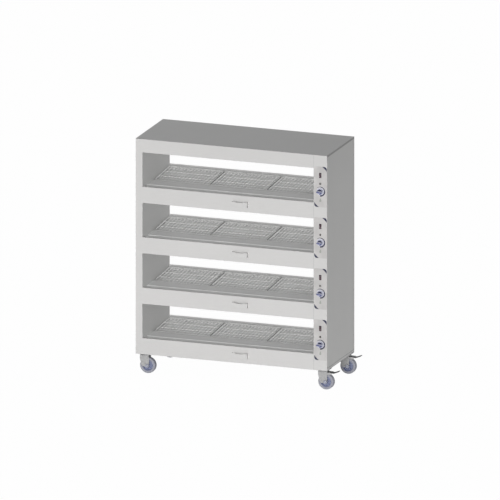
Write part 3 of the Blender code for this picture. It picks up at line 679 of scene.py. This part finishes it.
def grid_shape(width, run):
    """A lift-out grid in its own plane: a bent frame wire, slats across its depth and cross wires below."""
    shape = bmesh.new()
    half_width = (width - grid_frame_wire) / 2
    half_run = (run - grid_frame_wire) / 2
    path = rounded_outline(2 * half_width, 2 * half_run, grid_corner, grid_bend_steps)
    add_wire(shape, [(x, y, 0) for x, y in path], grid_frame_wire, grid_frame_sides, closed=True)
    below = grid_lift - (grid_slat_wire + grid_cross_wire) / 2 + grid_weld
    for number in range(1, grid_crosses + 1):
        y = -half_run + 2 * half_run * number / (grid_crosses + 1)
        ends = [(-half_width, y, below), (half_width, y, below)]
        add_wire(shape, ends, grid_cross_wire, grid_wire_sides)
    # The frame wire's inner half takes the bright wire finish; its outer half and the cross wires take the
    # darker frame finish: painted light and shade.
    for face in shape.faces:
        past_centre = abs(face.calc_center_median().x) - half_width
        lit_inner_flank = -grid_frame_wire / 2 < past_centre < shade_flank_start
        face.material_index = 0 if lit_inner_flank else 1
    for number in range(1, grid_slats + 1):
        x = -half_width + 2 * half_width * number / (grid_slats + 1)
        ends = [(x, -half_run, grid_lift), (x, half_run, grid_lift)]
        add_wire(shape, ends, grid_slat_wire, grid_wire_sides)
    return mesh_from(shape, "wire_grid", 50)


def make_grids():
    """Three grids on each tier, laid at the slope of the shelf."""
    run = (grid_high.y - grid_low.y) / math.cos(slope_angle)
    mesh = grid_shape(grid_high.x - grid_low.x, run - grid_frame_wire * math.tan(slope_angle))
    turn = Matrix.Rotation(slope_angle, 4, "X")
    for tier in range(1, tier_count + 1):
        for column in ("left", "middle", "right"):
            node = f"wire_grid_{tier}_{column}"
            low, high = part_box(node)
            middle = (low + high) / 2
            piece(f"grid_{tier}_{column}", mesh, ("wire", "frame"), body_of_node(node), middle, turn,
                  (node,))


# Castors

castor_names = ("front_left", "front_right", "rear_left", "rear_right")
braked_castors = ("front_right", "rear_right")
castor_trail = 0.018
fork_front_reach = 0.028
fork_half = 0.0211
skirt_clearance = 0.0001
wheel_radius = 0.0485
tyre_half_width = 0.016
tyre_shoulder = 0.0065
tyre_step = 0.0075
tyre_line = 0.0004
tyre_line_half = 0.0008
tyre_height = 0.0155
tyre_foot_half = 0.0140
tyre_foot_bevel = (0.0010, 0.0012)
tyre_bend_steps = 6
tyre_steps = 64
hub_clearance = 0.0001
hub_reach = wheel_radius - tyre_height - hub_clearance
# Hub: its boss as (radius, half width) pairs, its web and rim as (depth under the tyre, half width) pairs
hub_boss = ((0.0064, 0.0168), (0.0120, 0.0168), (0.0130, 0.0158), (0.0134, 0.0050))
hub_rim = ((0.0049, 0.0040), (0.0036, 0.0125), (0.0029, 0.0138), (0.0006, 0.0138), (0.0, 0.0130))
hub_steps = 48
hub_ribs = 8
rib_root = 0.0120
rib_base = 0.0034
rib_tops = (0.0135, 0.0100)
rib_half = 0.0009
rib_taper = 0.7
rib_rim_depth = 0.0029


def tyre_mesh():
    """A grey rubber tyre with round shoulders and a moulding line round its middle."""
    inner = wheel_radius - tyre_height
    step_radius = wheel_radius - tyre_step
    bend = tyre_shoulder
    outer = wheel_radius - tyre_line
    rise, widening = tyre_foot_bevel
    foot = [(inner, tyre_foot_half), (inner + rise, tyre_foot_half + widening),
            (step_radius, tyre_half_width)]
    profile = [(radius, -across) for radius, across in foot]
    profile += arc(outer - bend, -tyre_half_width + bend, bend, -90, 0, tyre_bend_steps)
    profile += [(outer, -tyre_line_half), (outer + tyre_line, 0.0), (outer, tyre_line_half)]
    profile += arc(outer - bend, tyre_half_width - bend, bend, 0, 90, tyre_bend_steps)
    profile += foot[::-1]
    return turned_mesh("tyre", profile, tyre_steps, "Y", closed=True)


def hub_mesh():
    """A moulded hub: bored boss, thin web with radial ribs on both sides, and a rim."""
    shape = bmesh.new()
    far = [*hub_boss, *((hub_reach - depth, across) for depth, across in hub_rim)]
    near = [(radius, -across) for radius, across in far]
    add_turned(shape, near + far[::-1], hub_steps, "Y", closed=True)
    for number in range(hub_ribs):
        turn = Matrix.Rotation(2 * math.pi * number / hub_ribs, 3, "Y")
        for side in (-1, 1):
            corners = []
            for x, top in zip((rib_root, hub_reach - rib_rim_depth), rib_tops):
                for z in (-rib_half, rib_half):
                    corners.append(shape.verts.new(turn @ Vector((x, side * rib_base, z))))
                    corners.append(shape.verts.new(turn @ Vector((x, side * top, z * rib_taper))))
            for quad in ((0, 1, 5, 4), (2, 6, 7, 3), (1, 3, 7, 5), (0, 4, 6, 2), (0, 2, 3, 1), (4, 5, 7, 6)):
                shape.faces.new([corners[place] for place in quad])
    return mesh_from(shape, "hub", 30)


# Plate bolt: a washer, and a hexagon head with a shallow dish, as shares of their radius and height
washer_radius = 0.0060
washer_height = 0.0010
washer_steps = 32
washer_shares = ((0, 0), (1, 0), (1, 0.8), (29 / 30, 1), (0, 1))
bolt_across = 0.0100
bolt_height = 0.0040
bolt_shares = ((0, 0), (1, 0), (1, 0.8), (0.88, 1), (0.5, 1), (0.45, 0.94), (0, 0.94))


def hex_bolt_mesh():
    """A washer with a chamfered hexagon head on it, standing up along +Z."""
    shape = bmesh.new()
    washer = [(washer_radius * outward, washer_height * upward) for outward, upward in washer_shares]
    add_turned(shape, washer, washer_steps)
    reach = bolt_across / math.sqrt(3)
    head = [(reach * outward, washer_height + bolt_height * upward) for outward, upward in bolt_shares]
    add_turned(shape, head, 6)
    return mesh_from(shape, "plate_bolt", 20)


skirt_reach = 0.029
skirt_low = 0.0935
skirt_high = 0.1070
skirt_sheet = 0.0024
skirt_corner = 0.005
skirt_back = -0.0006
skirt_steps = 6


def fork_skirt_mesh():
    """A short sheet skirt that carries a fork's cheek forward over the wheel's shoulder."""
    front = skirt_reach - skirt_corner
    outline = [(skirt_back, skirt_high), (skirt_back, skirt_low)]
    outline += arc(front, skirt_low + skirt_corner, skirt_corner, -90, 0, skirt_steps)
    outline += arc(front, skirt_high - skirt_corner, skirt_corner, 0, 90, skirt_steps)
    return prism_mesh("fork_skirt", [outline], -skirt_sheet / 2, skirt_sheet / 2, smooth_angle=30)


# Domed cap over an axle nut, as (radius, level) pairs
cap_profile = ((0.0112, 0.0), (0.0118, 0.0006), (0.0116, 0.0026), (0.0106, 0.0044), (0.0086, 0.0056),
               (0.0060, 0.0062), (0.0040, 0.0060), (0.0030, 0.0054), (0, 0.0053))
cap_steps = 40
cap_bite = 0.0046
plate_bolt_x = 0.032
plate_bolt_y = 0.025
plate_bolt_drop = 0.0030


def make_castors():
    """Tyre, hub, axle caps and plate bolts of each castor, and the skirts of the braked ones."""
    tyre = tyre_mesh()
    hub = hub_mesh()
    bolt = hex_bolt_mesh()
    cap = turned_mesh("axle_cap", cap_profile, cap_steps, smooth_angle=35)
    skirt = fork_skirt_mesh()
    down = Matrix.Rotation(math.pi, 4, "X")
    for name in castor_names:
        wheel_node = f"castor_wheel_{name}"
        wheel_low, wheel_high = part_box(wheel_node)
        middle = (wheel_low + wheel_high) / 2
        wheel_body = body_of_node(wheel_node)
        piece(f"tyre_{name}", tyre, "rubber", wheel_body, middle, instead=(wheel_node,))
        piece(f"hub_{name}", hub, "hub", wheel_body, middle, instead=(wheel_node,))
        fork_node = f"castor_fork_{name}"
        fork_low, fork_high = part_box(fork_node)
        fork_body = body_of_node(fork_node)
        fork_front = middle.x - castor_trail + fork_front_reach
        for where, side, face in (("front", -1, fork_low.y), ("back", 1, fork_high.y)):
            turn = Matrix.Rotation(math.pi / 2 * -side, 4, "X")
            spot = (middle.x, face - side * cap_bite, middle.z)
            piece(f"axle_cap_{name}_{where}", cap, "cap", fork_body, spot, turn)
            if name in braked_castors:
                sheet_y = middle.y + side * (fork_half - skirt_sheet / 2 - skirt_clearance)
                piece(f"fork_skirt_{name}_{where}", skirt, "zinc", fork_body, (fork_front, sheet_y, 0))
        plate_low, plate_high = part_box(f"castor_plate_{name}")
        centre = (plate_low + plate_high) / 2
        under = plate_high.z - plate_bolt_drop
        for number, (x, y) in enumerate(((-1, -1), (1, -1), (1, 1), (-1, 1))):
            spot = (centre.x + x * plate_bolt_x, centre.y + y * plate_bolt_y, under)
            piece(f"plate_bolt_{name}_{number + 1}", bolt, "screw", "root", spot, down)


# Controls

print_depth = 0.00006
print_gap = 0.00002
label_depth = 0.0003
label_sink = 0.00002
label_hole_corner = 0.0010
switch_slot = (0.0118, 0.0290)
lamp_hole = 0.0052
knob_hole = 0.0050
label_low_x = 1.1200
label_high_x = 1.1985
label_top_drop = 0.0690
label_bottom_drop = 0.3170
label_corner = 0.0030
label_corner_steps = 5
hole_steps = 24
dial_radius = 0.0302
dial_start = 130
dial_end = -93
dial_steps = 40
dial_start_width = 0.0010
dial_end_width = 0.0086
dial_swell = 0.6
dial_disc_inset = 0.0066
dial_disc_steps = 48
tick_count = 7
tick_gap = 0.0016
tick_length = 0.0026
tick_width = 0.0007
accent_reach = 0.0290
accent_corner = 0.0160
accent_centre = 0.0900
accent_edge = 0.0002
accent_bend_steps = 10
accent_bow_steps = 20
mark_drop = 0.049
mark_stem = (0.0072, 0.0150, 0.0036)
mark_bulb = 0.0064
mark_bulb_drop = 0.0075
mark_bulb_rise = 0.00001
mark_bars = 3
mark_bar_pitch = 0.003
mark_bar_low = -0.001
mark_bar_height = 0.0008
mark_bar_reach = (0.0046, 0.0070)


def dial_band_mesh(middle_z, near, far):
    """A thin curved band that widens inwards from its start to its end."""
    outside = arc(control_x, middle_z, dial_radius, dial_start, dial_end, dial_steps)
    inside = []
    for step, (x, z) in enumerate(outside):
        share = (step / dial_steps) ** dial_swell
        keep = 1 - (dial_start_width + (dial_end_width - dial_start_width) * share) / dial_radius
        inside.append((control_x + (x - control_x) * keep, middle_z + (z - middle_z) * keep))
    shape = bmesh.new()
    rings = [ring_on(shape, outside + inside[::-1], level, "Y") for level in (near, far)]
    for ring in rings:
        for step in range(dial_steps):
            shape.faces.new((ring[step], ring[step + 1], ring[-2 - step], ring[-1 - step]))
    bridged(shape, rings)
    return mesh_from(shape, "dial_band", 20)


def accent_outline(corner_x, corner_z, toward_x, toward_z):
    """A printed corner: round outside, with a flat hollow curve inside."""
    points = [(accent_reach, 0)]
    points += arc(accent_corner, accent_corner, accent_corner, 270, 180, accent_bend_steps)
    points.append((0, accent_reach))
    radius = math.hypot(accent_reach - accent_centre, accent_centre)
    lean = math.degrees(math.asin((accent_centre - accent_reach) / radius))
    points += arc(accent_centre, accent_centre, radius, 180 + lean, 270 - lean, accent_bow_steps)[1:-1]
    return [(corner_x + toward_x * x, corner_z + toward_z * z) for x, z in points]


def label_outline(low_x, low_z, high_x, high_z):
    """The label's edge: larger round corners where the printed corners are."""
    outline = []
    corners = ((high_x, high_z, accent_corner, accent_bend_steps),
               (low_x, high_z, label_corner, label_corner_steps),
               (low_x, low_z, accent_corner, accent_bend_steps),
               (high_x, low_z, label_corner, label_corner_steps))
    for quarter, (corner_x, corner_z, radius, steps) in enumerate(corners):
        middle_x = corner_x - radius * (1 if corner_x == high_x else -1)
        middle_z = corner_z - radius * (1 if corner_z == high_z else -1)
        outline += arc(middle_x, middle_z, radius, 90 * quarter, 90 * quarter + 90, steps)
    return outline


def make_dial(tier, knob_z, near, far):
    """The print round one knob: a pale disc, a band that swells along its run, and ticks outside it."""
    edge = circle_outline(control_x, knob_z, dial_radius - dial_disc_inset, dial_disc_steps)
    hole = circle_outline(control_x, knob_z, knob_hole, hole_steps)
    piece(f"dial_disc_{tier + 1}", plate_mesh("dial_disc", edge, [hole], near, far), "pale", "root")
    over = print_gap + print_depth
    piece(f"dial_band_{tier + 1}", dial_band_mesh(knob_z, near - over, far - over), "navy", "root")
    ticks = []
    for number in range(tick_count):
        angle = math.radians(90 - 180 * number / (tick_count - 1))
        along = Vector((math.cos(angle), math.sin(angle)))
        side = Vector((-along.y, along.x)) * tick_width / 2
        start = Vector((control_x, knob_z)) + along * (dial_radius + tick_gap)
        end = start + along * tick_length
        ticks.append((start - side, end - side, end + side, start + side))
    piece(f"dial_ticks_{tier + 1}", prism_mesh("dial_ticks", ticks, near, far), "grey", "root")


def make_mark(tier, mark_z, near, far):
    """A plain printed mark below the knob: a stem, a bulb and three short bars."""
    shape = bmesh.new()
    stem = [(control_x + x, mark_z + z) for x, z in rounded_outline(*mark_stem, 5)]
    bulb = circle_outline(control_x, mark_z - mark_bulb_drop, mark_bulb, hole_steps)
    add_prism(shape, stem, near, far)
    add_prism(shape, bulb, near - mark_bulb_rise, far)
    low_x, high_x = (control_x + reach for reach in mark_bar_reach)
    for number in range(mark_bars):
        low = mark_z + mark_bar_low + mark_bar_pitch * number
        add_prism(shape, box_outline(low_x, low, high_x, low + mark_bar_height), near, far)
    piece(f"label_mark_{tier + 1}", mesh_from(shape, "label_mark", 20), "faint", "root")


def make_label(tier):
    """One tier's printed panel: foil with its holes, corner accents, a dial and a plain mark."""
    top = control_top(tier)
    low_x = left_x + label_low_x
    high_x = left_x + label_high_x
    high_z = top_z - tier * control_pitch - label_top_drop
    low_z = top_z - tier * control_pitch - label_bottom_drop
    outline = label_outline(low_x, low_z, high_x, high_z)
    switch_z = top - switch_drop
    knob_z = top - knob_drop
    slot = rounded_outline(*switch_slot, label_hole_corner, 2)
    holes = [[(control_x + x, switch_z + z) for x, z in slot],
             circle_outline(control_x, top - lamp_drop, lamp_hole, hole_steps),
             circle_outline(control_x, knob_z, knob_hole, hole_steps)]
    label = plate_mesh("label", outline, holes, front_y - label_depth, front_y + label_sink)
    piece(f"label_{tier + 1}", label, "foil", "root")
    far = front_y - label_depth - print_gap
    near = far - print_depth
    for name, corner in (
        ("upper", accent_outline(high_x - accent_edge, high_z - accent_edge, -1, -1)),
        ("lower", accent_outline(low_x + accent_edge, low_z + accent_edge, 1, 1)),
    ):
        piece(f"label_accent_{name}_{tier + 1}", prism_mesh("accent", [corner], near, far), "navy", "root")
    make_dial(tier, knob_z, near, far)
    make_mark(tier, knob_z - mark_drop, near, far)


rocker_tilt = math.radians(9)
rocker_reach = 0.0064
rocker_dish = 0.0016
rocker_half_height = 0.0122
rocker_pivot_depth = 0.0013
rocker_mark_share = 0.52
rocker_mark_sink = 0.00002
rocker_bar = (0.0009, 0.0042, 0.0003)
rocker_ring_outer = 0.0021
rocker_ring_inner = 0.0013
rocker_ring_steps = 28


def make_switch(tier):
    """The marks on the rocker: a bar above and a ring below."""
    half = (rocker_half_height - rocker_reach * math.sin(rocker_tilt)) / math.cos(rocker_tilt)
    lean = math.atan(rocker_dish / half)
    pivot = Vector((control_x, front_y + rocker_pivot_depth, control_top(tier) - switch_drop))
    rest = Matrix.Rotation(rocker_tilt, 4, "X")
    outer = circle_outline(0, 0, rocker_ring_outer, rocker_ring_steps)
    inner = circle_outline(0, 0, rocker_ring_inner, rocker_ring_steps)
    marks = {
        "bar": prism_mesh("rocker_bar", [rounded_outline(*rocker_bar, 3)], -print_depth, 0),
        "ring": plate_mesh("rocker_ring", outer, [inner], -print_depth, 0),
    }
    depth = -rocker_reach + rocker_dish * (1 - rocker_mark_share) - rocker_mark_sink
    for name, side in (("bar", 1), ("ring", -1)):
        level = side * half * rocker_mark_share
        place = Matrix.Translation((0, depth, level)) @ Matrix.Rotation(-side * lean, 4, "X")
        piece(f"rocker_{name}_{tier + 1}", marks[name], "white", f"rocker_{tier + 1}", pivot, rest @ place)


# Lamp: a low ring with a rounded outer edge, and a domed lens, as (radius, level) pairs
bezel_profile = ((0.0046, -0.0040), (0.0048, -0.0026), (0.0053, -0.0021), (0.0060, -0.0019),
                 (0.0063, -0.0014), (0.0064, -0.00005), (0.0046, -0.00005))
lens_profile = ((0, -0.0054), (0.0012, -0.00532), (0.0024, -0.0050), (0.0035, -0.0044),
                (0.0042, -0.0036), (0.00445, -0.0028), (0.0045, -0.0004), (0, -0.0004))
bezel_steps = 40
lens_steps = 32

knob_radius = 0.019
knob_flutes = 30
flute_depth = 0.0007
flute_steps = 6


def knob_skirt_mesh():
    """A fluted skirt with rounded edges."""
    shape = bmesh.new()
    steps = knob_flutes * flute_steps
    levels = [
        (0.0165, 0.0, 0), (knob_radius - 0.0006, 0.0002, 1), (knob_radius, 0.0010, 1),
        (knob_radius - 0.0003, 0.0050, 1), (knob_radius - 0.0008, 0.0068, 1),
        (knob_radius - 0.0020, 0.0078, 0), (knob_radius - 0.0034, 0.0080, 0),
        (knob_radius - 0.0042, 0.0076, 0), (knob_radius - 0.0055, 0.0074, 0), (0, 0.0074, 0),
    ]
    rings = []
    for radius, level, fluted in levels:
        outline = []
        for step in range(steps if radius else 1):
            angle = 2 * math.pi * step / steps
            wave = (0.5 + 0.5 * math.cos(knob_flutes * angle)) ** 2
            reach = radius - fluted * flute_depth * wave
            outline.append((reach * math.cos(angle), reach * math.sin(angle)))
        rings.append(ring_on(shape, outline, -level, "Y"))
    bridged(shape, rings)
    shape.faces.new(rings[0])
    return mesh_from(shape, "knob_skirt", 40)


grip_reach = 0.0215
grip_tail = 0.0160
grip_steps = 14
# Grip: the share of its outline that is left at each level, and how its sides swell
grip_levels = ((0.0072, 1.00), (0.0090, 0.99), (0.0180, 0.95), (0.0220, 0.92),
               (0.0232, 0.87), (0.0237, 0.78))
grip_side_taper = 1.6
grip_narrow = 0.0031
grip_swell = 0.0032
grip_swell_pace = 1.15
grip_swell_power = 1.2
grip_least = 0.0009
grip_end_share = 0.09
insert_shares = (0.74, 0.66)
insert_face = 0.0240
insert_root = 0.0234


def grip_outline():
    """The grip seen from the front: broad in the middle, narrow and rounded at the pointer."""
    spots = []
    for step in range(grip_steps + 1):
        share = step / grip_steps
        x = -grip_reach + (grip_reach + grip_tail) * share
        swell = math.sin(math.pi * min(1.0, share * grip_swell_pace)) ** grip_swell_power
        broad = grip_narrow + grip_swell * swell
        to_end = min(share, 1 - share)
        rounding = 1.0
        if to_end < grip_end_share:
            rounding = math.sqrt(max(0.0, 1 - (1 - to_end / grip_end_share) ** 2))
        spots.append((x, max(grip_least, broad * rounding)))
    return spots + [(x, -z) for x, z in reversed(spots)]


def knob_grip_mesh():
    """The long grip on the skirt, with softened upper edges, and painted light on its upward faces."""
    shape = bmesh.new()
    rings = []
    for level, share in grip_levels:
        side_share = 1 - (1 - share) * grip_side_taper
        outline = [(x * share, z * side_share) for x, z in grip_outline()]
        rings.append(ring_on(shape, outline, -level, "Y"))
    lofted(shape, rings)
    bmesh.ops.recalc_face_normals(shape, faces=shape.faces)
    # Upward faces take the pale skirt finish: painted light on the grip's top.
    for face in shape.faces:
        face.material_index = 1 if face.normal.z > 0.5 else 0
    return mesh_from(shape, "knob_grip", 40)


# Patches of painted shade on a knob's skirt
knob_shade_radius = 0.0160
knob_shade_face = 0.00815
knob_shade_root = 0.0070
knob_shade_arc_steps = 24
knob_shade_chord_steps = 12


def knob_shade_mesh(name, start, end, flat):
    """Part of a disc, laid thin on the skirt as painted shade: an arc between two angles in degrees, closed
    by a bow.
    """
    outline = arc(0, 0, knob_shade_radius, start, end, knob_shade_arc_steps)
    first = Vector(outline[0])
    last = Vector(outline[-1])
    inward = -((first + last) / 2).normalized()
    for step in range(1, knob_shade_chord_steps):
        share = step / knob_shade_chord_steps
        outline.append(last.lerp(first, share) + inward * flat * math.sin(math.pi * share))
    return prism_mesh(name, [outline], -knob_shade_face, -knob_shade_root)


def knob_insert_mesh():
    """A flat cap let into the front of the grip."""
    outline = [(x * insert_shares[0], z * insert_shares[1]) for x, z in grip_outline()]
    return prism_mesh("knob_insert", [outline], -insert_face, -insert_root)


def make_knob(tier, meshes):
    """One knob: its grip, skirt, patches of painted shade and insert, which turn together."""
    node = f"thermostat_knob_{tier + 1}"
    body = body_of_node(node)
    high_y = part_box(node)[1].y
    centre = Vector((control_x, high_y, control_top(tier) - knob_drop))
    # The grip's second finish, the pale skirt plastic, is painted light on its upward faces.
    piece(f"knob_{tier + 1}", meshes["grip"], ("blue", "skirt"), body, centre, None, (node,))
    # The navy crescent above the grip and the slate foot below it are painted shade.
    for part, finish in (("skirt", "skirt"), ("shade_crescent", "navy"), ("foot", "slate"), ("insert", "insert")):
        piece(f"knob_{part}_{tier + 1}", meshes[part], finish, body, centre, instead=(node,))


def make_controls():
    """Label, switch marks, knob and lamp of each tier."""
    bezel = turned_mesh("lamp_bezel", bezel_profile, bezel_steps, "Y", closed=True)
    lens = turned_mesh("lamp_lens", lens_profile, lens_steps, "Y")
    knobs = {
        "grip": knob_grip_mesh(), "skirt": knob_skirt_mesh(), "insert": knob_insert_mesh(),
        # Crescent and foot: patches of painted shade above and below the grip.
        "shade_crescent": knob_shade_mesh("knob_crescent", start=14, end=166, flat=0.0),
        "foot": knob_shade_mesh("knob_foot_shade", start=-112, end=-28, flat=0.0040),
    }
    for tier in range(tier_count):
        make_label(tier)
        make_switch(tier)
        make_knob(tier, knobs)
        spot = (control_x, front_y - label_depth, control_top(tier) - lamp_drop)
        piece(f"lamp_bezel_{tier + 1}", bezel, "bezel", "root", spot)
        piece(f"lamp_lens_{tier + 1}", lens, "lens", "root", spot)


# Seams

seam_width = 0.0012
seam_rise = 0.0002
seam_above_base = 0.002
seam_below_top = 0.004


def make_seams():
    """A flat bead of sealant over the joint between the front sheet and the control cover; its grey is partly
    the sealant's and partly painted shade for the joint's gap.
    """
    fascia_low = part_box("control_fascia")[0]
    middle = (fascia_low.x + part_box("front_frame")[1].x) / 2
    half = seam_width / 2
    outline = box_outline(middle - half, front_y - seam_rise, middle + half, front_y + seam_rise)
    bead = prism_mesh("seam_bead", [outline], fascia_low.z + seam_above_base, top_z - seam_below_top, "Z", 35)
    piece("seam_bead", bead, "sealant", "root")


fold_width = 0.0030
fold_rise = 0.00025
fold_sink = 0.0006
fold_below_top = 0.0110
fold_above_base = 0.0165
fold_before_rear = 0.0220
fold_end_gap = 0.003


def make_fold_lines():
    """Shallow pressed lines on both sides where the folds inside the sheet end, in darker steel that is
    painted shade.
    """
    low_z = base_z + fold_above_base
    high_z = top_z - fold_below_top
    back_y = rear_y - fold_before_rear
    start_y = front_y + fold_end_gap
    end_y = rear_y - fold_end_gap
    half = fold_width / 2
    lines = (box_outline(start_y, low_z - half, end_y, low_z + half),
             box_outline(start_y, high_z - half, end_y, high_z + half),
             box_outline(back_y - half, low_z + half, back_y + half, high_z - half))
    for side, low_x, high_x in (("left", left_x - fold_rise, left_x + fold_sink),
                                ("right", right_x - fold_sink, right_x + fold_rise)):
        piece(f"fold_lines_{side}", prism_mesh("fold_lines", lines, low_x, high_x, "X", 30), "fold", "root")


# Fasteners

screw_sink = 0.0003
screw_before_rear = 0.013
screw_drops = (0.110, 0.384, 0.658, 0.933, 1.207)
screw_radius = 0.0045
screw_height = 0.0006
screw_steps = 24
screw_shares = ((1.0, 0.0), (1.0, 0.35), (0.86, 0.75), (0.60, 1.0))
# Cross recess in the head: half its width, its reach and, at its floor, its share of both and its level
cross_half = 0.0006
cross_reach = 0.00216
cross_floor_share = 0.8
cross_floor_level = 0.00027


def screw_mesh():
    """A low round screw head with a cross recess, standing up along +Z."""
    shape = bmesh.new()
    rings = []
    for outward, upward in screw_shares:
        outline = circle_outline(0, 0, screw_radius * outward, screw_steps)
        rings.append(ring_on(shape, outline, screw_height * upward, "Z"))
    bridged(shape, rings)
    cross = []
    for quarter in range(4):
        turn = Matrix.Rotation(math.pi / 2 * quarter, 2)
        for spot in ((cross_reach, -cross_half), (cross_reach, cross_half), (cross_half, cross_half)):
            cross.append(turn @ Vector(spot))
    cross_ring = ring_on(shape, cross, screw_height, "Z")
    floor_ring = ring_on(shape, [spot * cross_floor_share for spot in cross], cross_floor_level, "Z")
    filled(shape, (rings[-1], cross_ring))
    bridged(shape, [cross_ring, floor_ring])
    shape.faces.new(floor_ring)
    shape.faces.new(rings[0])
    return mesh_from(shape, "side_screw", 25)


def make_fasteners():
    """Low screw heads on both sides near the back."""
    screw = screw_mesh()
    for side, x, outward in (("right", right_x, 1), ("left", left_x, -1)):
        turn = Matrix.Rotation(outward * math.pi / 2, 4, "Y")
        for number, drop in enumerate(screw_drops):
            spot = (x - outward * screw_sink, rear_y - screw_before_rear, top_z - drop)
            piece(f"side_screw_{side}_{number + 1}", screw, "screw", "root", spot, turn)


make_camera()
make_lights()
make_floor()
paint_nodes()
make_grids()
make_castors()
make_controls()
make_seams()
make_fold_lines()
make_fasteners()

bpy.context.scene.view_settings.view_transform = "Standard"
